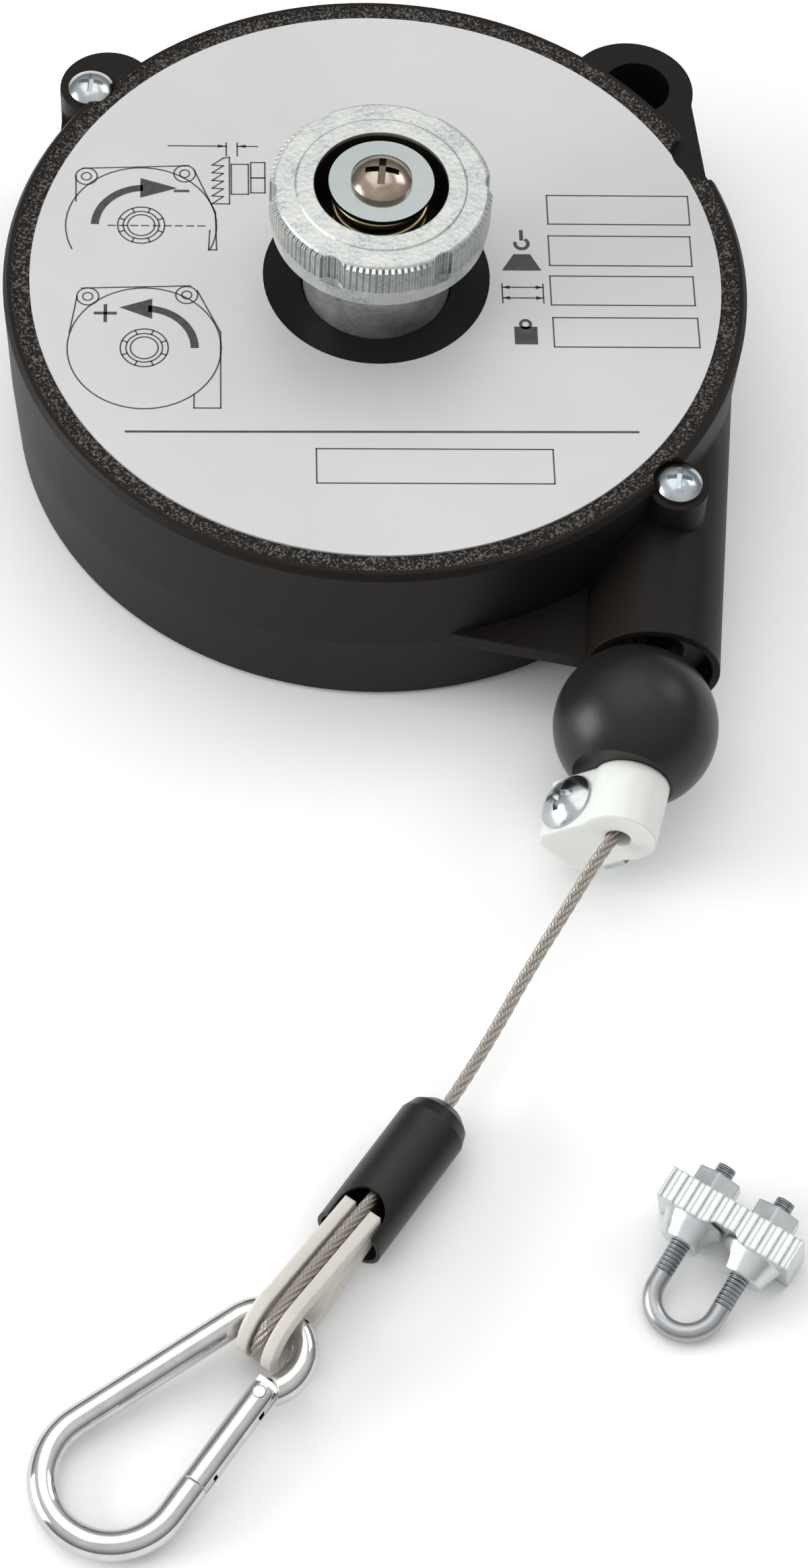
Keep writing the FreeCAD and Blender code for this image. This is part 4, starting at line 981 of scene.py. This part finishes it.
@dataclass
class Knob(Assembly):
    """The tension knob on its spindle, with the coil, washer and screw that hold it.

    Attributes:
        ridges: how many upright ridges stand round the grip.
        grip_height: how far down they reach, from grip_drop under the knob's top.
        grip_inset: how far in from the rim they reach.
        recess_shade_depths: how far below the top the painted shade in the recess is full, and where it
            starts.
        cross_half_arm: half the length of the screw's cross recess.
        coil_radius: of the coil's centreline, in wire of radius coil_wire.
        coil_steps: rings of points in a turn, each of coil_sides points.
    """

    nodes: dict[str, Slot] = field(default_factory=lambda: {
        "knob": Slot.KNOB,
        "knob_washer": Slot.ZINC,
        "knob_screw": Slot.SCREW,
        "knob_spring": Slot.BRASS,
        "spindle": Slot.SPRING,
        "spiral_spring": Slot.SPRING,
    })
    ridges: int = 108
    ridge_depth: float = 0.0004
    grip_height: float = 0.0050
    grip_drop: float = 0.0006
    grip_inset: float = 0.0016
    cast_scale: float = 1900.0
    cast_tone: Colour = (0.38, 0.41, 0.41)
    stain: Colour = (0.42, 0.31, 0.19)
    stain_scale: float = 900.0
    stain_share: float = 0.7
    # painted shade that darkens the knob's top recess
    recess_radius: float = 0.0108
    recess_shade_depths: tuple[float, float] = (0.0009, 0.0004)
    recess_shade_tone: Colour = (0.030, 0.030, 0.028)
    cross_half_width: float = 0.00056
    cross_half_arm: float = 0.00265
    # painted shade in the screw's cross recess
    cross_shade_tone: Colour = (0.120, 0.095, 0.072)
    washer_scale: float = 150.0
    washer_tones: tuple[Colour, Colour] = ((0.31, 0.35, 0.345), (0.36, 0.39, 0.385))
    coil_radius: float = 0.0072
    coil_wire: float = 0.00065
    coil_turns: int = 4
    coil_steps: int = 48
    coil_sides: int = 20

    def dress(self) -> None:
        """Give the knob, its screw and its washer what only they have, and draw the coil."""
        self.draw_coil()
        self.repaint("knob_screw", self.crossed, "centre_screw")
        self.repaint("knob_washer", self.smooth_plated, "washer_zinc")
        self.repaint("knob", self.ridged, "knob_grip")

    def ridged(self, nodes: Nodes, finish: Finish, grain: bpy.types.NodeSocket) -> None:
        """Upright ridges round the grip, a cast grain, a few small stains and painted shade in the recess.
        """
        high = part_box("knob")[1]
        grip_top = high.z - self.grip_drop
        x, y, z = nodes.axes(nodes.place())
        wave = nodes.maths("SINE", nodes.maths("MULTIPLY", nodes.maths("ARCTAN2", y, x), float(self.ridges)))
        level = nodes.within(z, grip_top - self.grip_height, grip_top)
        outside = nodes.maths("GREATER_THAN", nodes.from_axis(), high.x - self.grip_inset)
        height = nodes.maths("MULTIPLY", wave, nodes.maths("MULTIPLY", level, outside))
        nodes.set("Normal", nodes.bump(height, self.ridge_depth, grain))
        rough_cast = nodes.ramp(nodes.noise(self.cast_scale, 2.0), 0.40, 0.62)
        plated = nodes.two_tones(finish, nodes.mix(rough_cast, finish.colour, self.cast_tone))
        specks = nodes.ramp(nodes.noise(self.stain_scale), 0.70, 0.76, 0.0, self.stain_share)
        # painted shade: the recess turns dark below the knob's top
        deep, shallow = self.recess_shade_depths
        shaded_recess = nodes.maths("MULTIPLY", nodes.maths("LESS_THAN", nodes.from_axis(), self.recess_radius),
                           nodes.ramp(z, high.z - deep, high.z - shallow, 1.0, 0.0))
        stained = nodes.mix(specks, plated, self.stain)
        nodes.set("Base Color", nodes.mix(shaded_recess, stained, self.recess_shade_tone))

    def crossed(self, nodes: Nodes, finish: Finish, _grain: bpy.types.NodeSocket) -> None:
        """Painted shade in the screw's cross recess."""
        x, y, _ = (nodes.maths("ABSOLUTE", axis) for axis in nodes.axes(nodes.place()))
        arms = [
            nodes.maths("MULTIPLY", nodes.maths("LESS_THAN", across, self.cross_half_width),
                        nodes.maths("LESS_THAN", along, self.cross_half_arm))
            for across, along in ((x, y), (y, x))
        ]
        # painted shade fills the cross
        cross = nodes.maths("MAXIMUM", *arms)
        nodes.set("Base Color", nodes.mix(cross, nodes.two_tones(finish), self.cross_shade_tone))

    def smooth_plated(self, nodes: Nodes, _finish: Finish, _grain: bpy.types.NodeSocket) -> None:
        """The washer's plating is greyer and more even than the screws'."""
        nodes.set("Base Color", nodes.mix(nodes.noise(self.washer_scale), *self.washer_tones))

    def draw_coil(self) -> None:
        """A round coil that stands on the knob's recess."""
        low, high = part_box("knob_spring")
        bottom, top = low.z + self.coil_wire, high.z - self.coil_wire
        steps = self.coil_turns * self.coil_steps
        path = []
        for step in range(steps + 1):
            turn = math.tau * self.coil_turns * step / steps
            path.append(Vector((
                self.coil_radius * math.cos(turn),
                self.coil_radius * math.sin(turn),
                bottom + (top - bottom) * step / steps,
            )))
        coil, _ = swept("knob_coil", path, [self.coil_wire] * self.coil_sides)
        self.paint.give(coil, self.paint.material(Slot.BRASS), Slot.BRASS)
        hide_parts("knob_spring")
        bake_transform(coil)


@dataclass
class Drum(Assembly):
    """The drum that stores the rope, inside the casing."""

    nodes: dict[str, Slot] = field(default_factory=lambda: {
        "drum": Slot.DRUM,
        "drum_bush": Slot.BRASS,
        "drum_cover": Slot.DRUM,
        "rope_turns": Slot.ROPE,
    })


@dataclass
class RopeEnd(Assembly):
    """Ball, clamp, free rope, sleeve and thimble. Its routes are in millimetres."""

    nodes: dict[str, Slot] = field(default_factory=lambda: {
        "rope_lead": Slot.ROPE,
        "stop_ball": Slot.RUBBER,
        "clamp_block": Slot.NYLON,
        "clamp_screw": Slot.ZINC,
        "clamp_nut": Slot.ZINC,
        "rope": Slot.ROPE,
        "rope_sleeve": Slot.RUBBER,
        "ferrule": Slot.FERRULE,
        "thimble": Slot.NYLON,
    })
    rope: WireRope = WireRope()
    free_route: tuple[Point, ...] = (
        (45.18, -84.51, 15.97), (44.25, -89.93, 15.91), (41.0, -95.1, 15.0), (36.9, -102.6, 12.0),
        (31.8, -111.8, 8.7), (26.4, -123.6, 6.4), (21.06, -134.44, 5.86), (18.84, -138.33, 6.7),
        (14.14, -146.59, 6.89), (9.94, -154.6, 10.58), (-2.22, -174.32, 12.55), (-4.16, -177.46, 8.83),
        (-3.9, -177.03, 3.61), (-1.63, -173.35, 0.65), (10.12, -154.31, 6.95), (14.12, -146.62, 4.79),
        (18.58, -138.81, 4.61),
    )
    neck_route: tuple[Point, ...] = (
        (46.82, -25.9, 16.0), (46.3, -51.2, 16.0), (45.9, -71.2, 16.0), (45.69, -81.55, 16.0),
        (45.18, -84.51, 15.97),
    )
    on_the_rope: tuple[str, ...] = ("rope_sleeve", "ferrule", "thimble", "carabiner", "gate", "gate_rivet")
    aged_scale: float = 90.0
    aged_tones: tuple[Colour, Colour] = ((0.64, 0.61, 0.565), (0.57, 0.54, 0.49))

    def dress(self) -> None:
        """A yellowed thimble, strands on the free rope, and the rope in the neck."""
        self.repaint("thimble", self.aged, "thimble_nylon")
        material = self.paint.material(Slot.ROPE, self.rope.wires, "rope_wires")
        self.lay_free_rope(material)
        self.lay_neck_rope(material)

    def aged(self, nodes: Nodes, _finish: Finish, _grain: bpy.types.NodeSocket) -> None:
        """Nylon that has yellowed unevenly."""
        nodes.set("Base Color", nodes.mix(nodes.noise(self.aged_scale), *self.aged_tones))

    def lay_free_rope(self, material: bpy.types.Material) -> None:
        """The cord from the clamp to the sleeve and round the thimble, with the hook on its end."""
        path = centreline(self.free_route, self.rope.step)
        free = self.rope.build("rope_strands", path)
        self.paint.give(free, material, Slot.ROPE)
        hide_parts("rope")
        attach(free, Body.ROPE_END.value)
        [self.node(name) for name in self.on_the_rope]

    def lay_neck_rope(self, material: bpy.types.Material) -> None:
        """The rope in the neck."""
        inside = self.rope.build("neck_strands", centreline(self.neck_route, self.rope.step))
        self.paint.give(inside, material, Slot.ROPE)
        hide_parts("rope_lead")
        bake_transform(inside)


@dataclass
class Hook(Assembly):
    """The snap hook and its gate."""

    nodes: dict[str, Slot] = field(default_factory=lambda: {
        "carabiner": Slot.HOOK,
        "gate": Slot.HOOK,
        "gate_rivet": Slot.HOOK,
    })


@dataclass
class Clip(Assembly):
    """The loose rope clip that lies beside the balancer.

    Attributes:
        origin: where the legs leave the bolt's bow, in millimetres.
        leg_direction: the way the legs point.
    """

    nodes: dict[str, Slot] = field(default_factory=lambda: {
        "u_bolt": Slot.CLIP,
        "clip_saddle": Slot.CLIP,
        "clip_nuts": Slot.CLIP,
    })
    origin: Point = (57.6, -161.9, 2.7)
    leg_direction: Point = (0.4702, 0.8464, 0.2501)
    thread_start: float = 0.0015
    thread_pitch: float = 0.0007
    thread_depth: float = 0.00016
    # painted shade in the thread's grooves
    thread_groove_shade: Colour = (0.27, 0.30, 0.35)
    bolt_tone: Colour = (0.40, 0.41, 0.42)
    bolt_roughness: float = 0.14

    def dress(self) -> None:
        """The bolt is brighter than the saddle, and threaded."""
        self.repaint("u_bolt", self.threaded, "clip_thread")

    def threaded(self, nodes: Nodes, _finish: Finish, grain: bpy.types.NodeSocket) -> None:
        """A rolled thread on the legs of a bright bolt, with painted shade in its grooves."""
        reach = nodes.along(Vector(self.origin) * MM, Vector(self.leg_direction))
        wave = nodes.maths("SINE", nodes.maths("MULTIPLY", reach, math.tau / self.thread_pitch))
        on_leg = nodes.maths("GREATER_THAN", reach, self.thread_start)
        nodes.set("Normal", nodes.bump(nodes.maths("MULTIPLY", wave, on_leg), self.thread_depth, grain))
        # painted shade darkens the thread's grooves
        groove = nodes.maths("MULTIPLY", nodes.ramp(wave, 0.1, -0.7), on_leg)
        nodes.set("Base Color", nodes.mix(groove, self.bolt_tone, self.thread_groove_shade))
        nodes.set("Metallic", 1.0)
        nodes.set("Roughness", self.bolt_roughness)


ASSEMBLIES: tuple[type[Assembly], ...] = (Casing, NamePlate, Knob, Drum, RopeEnd, Hook, Clip)


def main() -> None:
    """Load the frame, dress every assembly and set up the studio."""
    logging.basicConfig(level=logging.INFO)
    bpy.ops.wm.read_factory_settings(use_empty=True)
    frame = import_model()
    Studio().build()
    paint = Paint()
    for assembly in ASSEMBLIES:
        assembly(frame, paint).build()
        LOG.info("built %s", assembly.__name__)


if __name__ == "__main__":
    main()
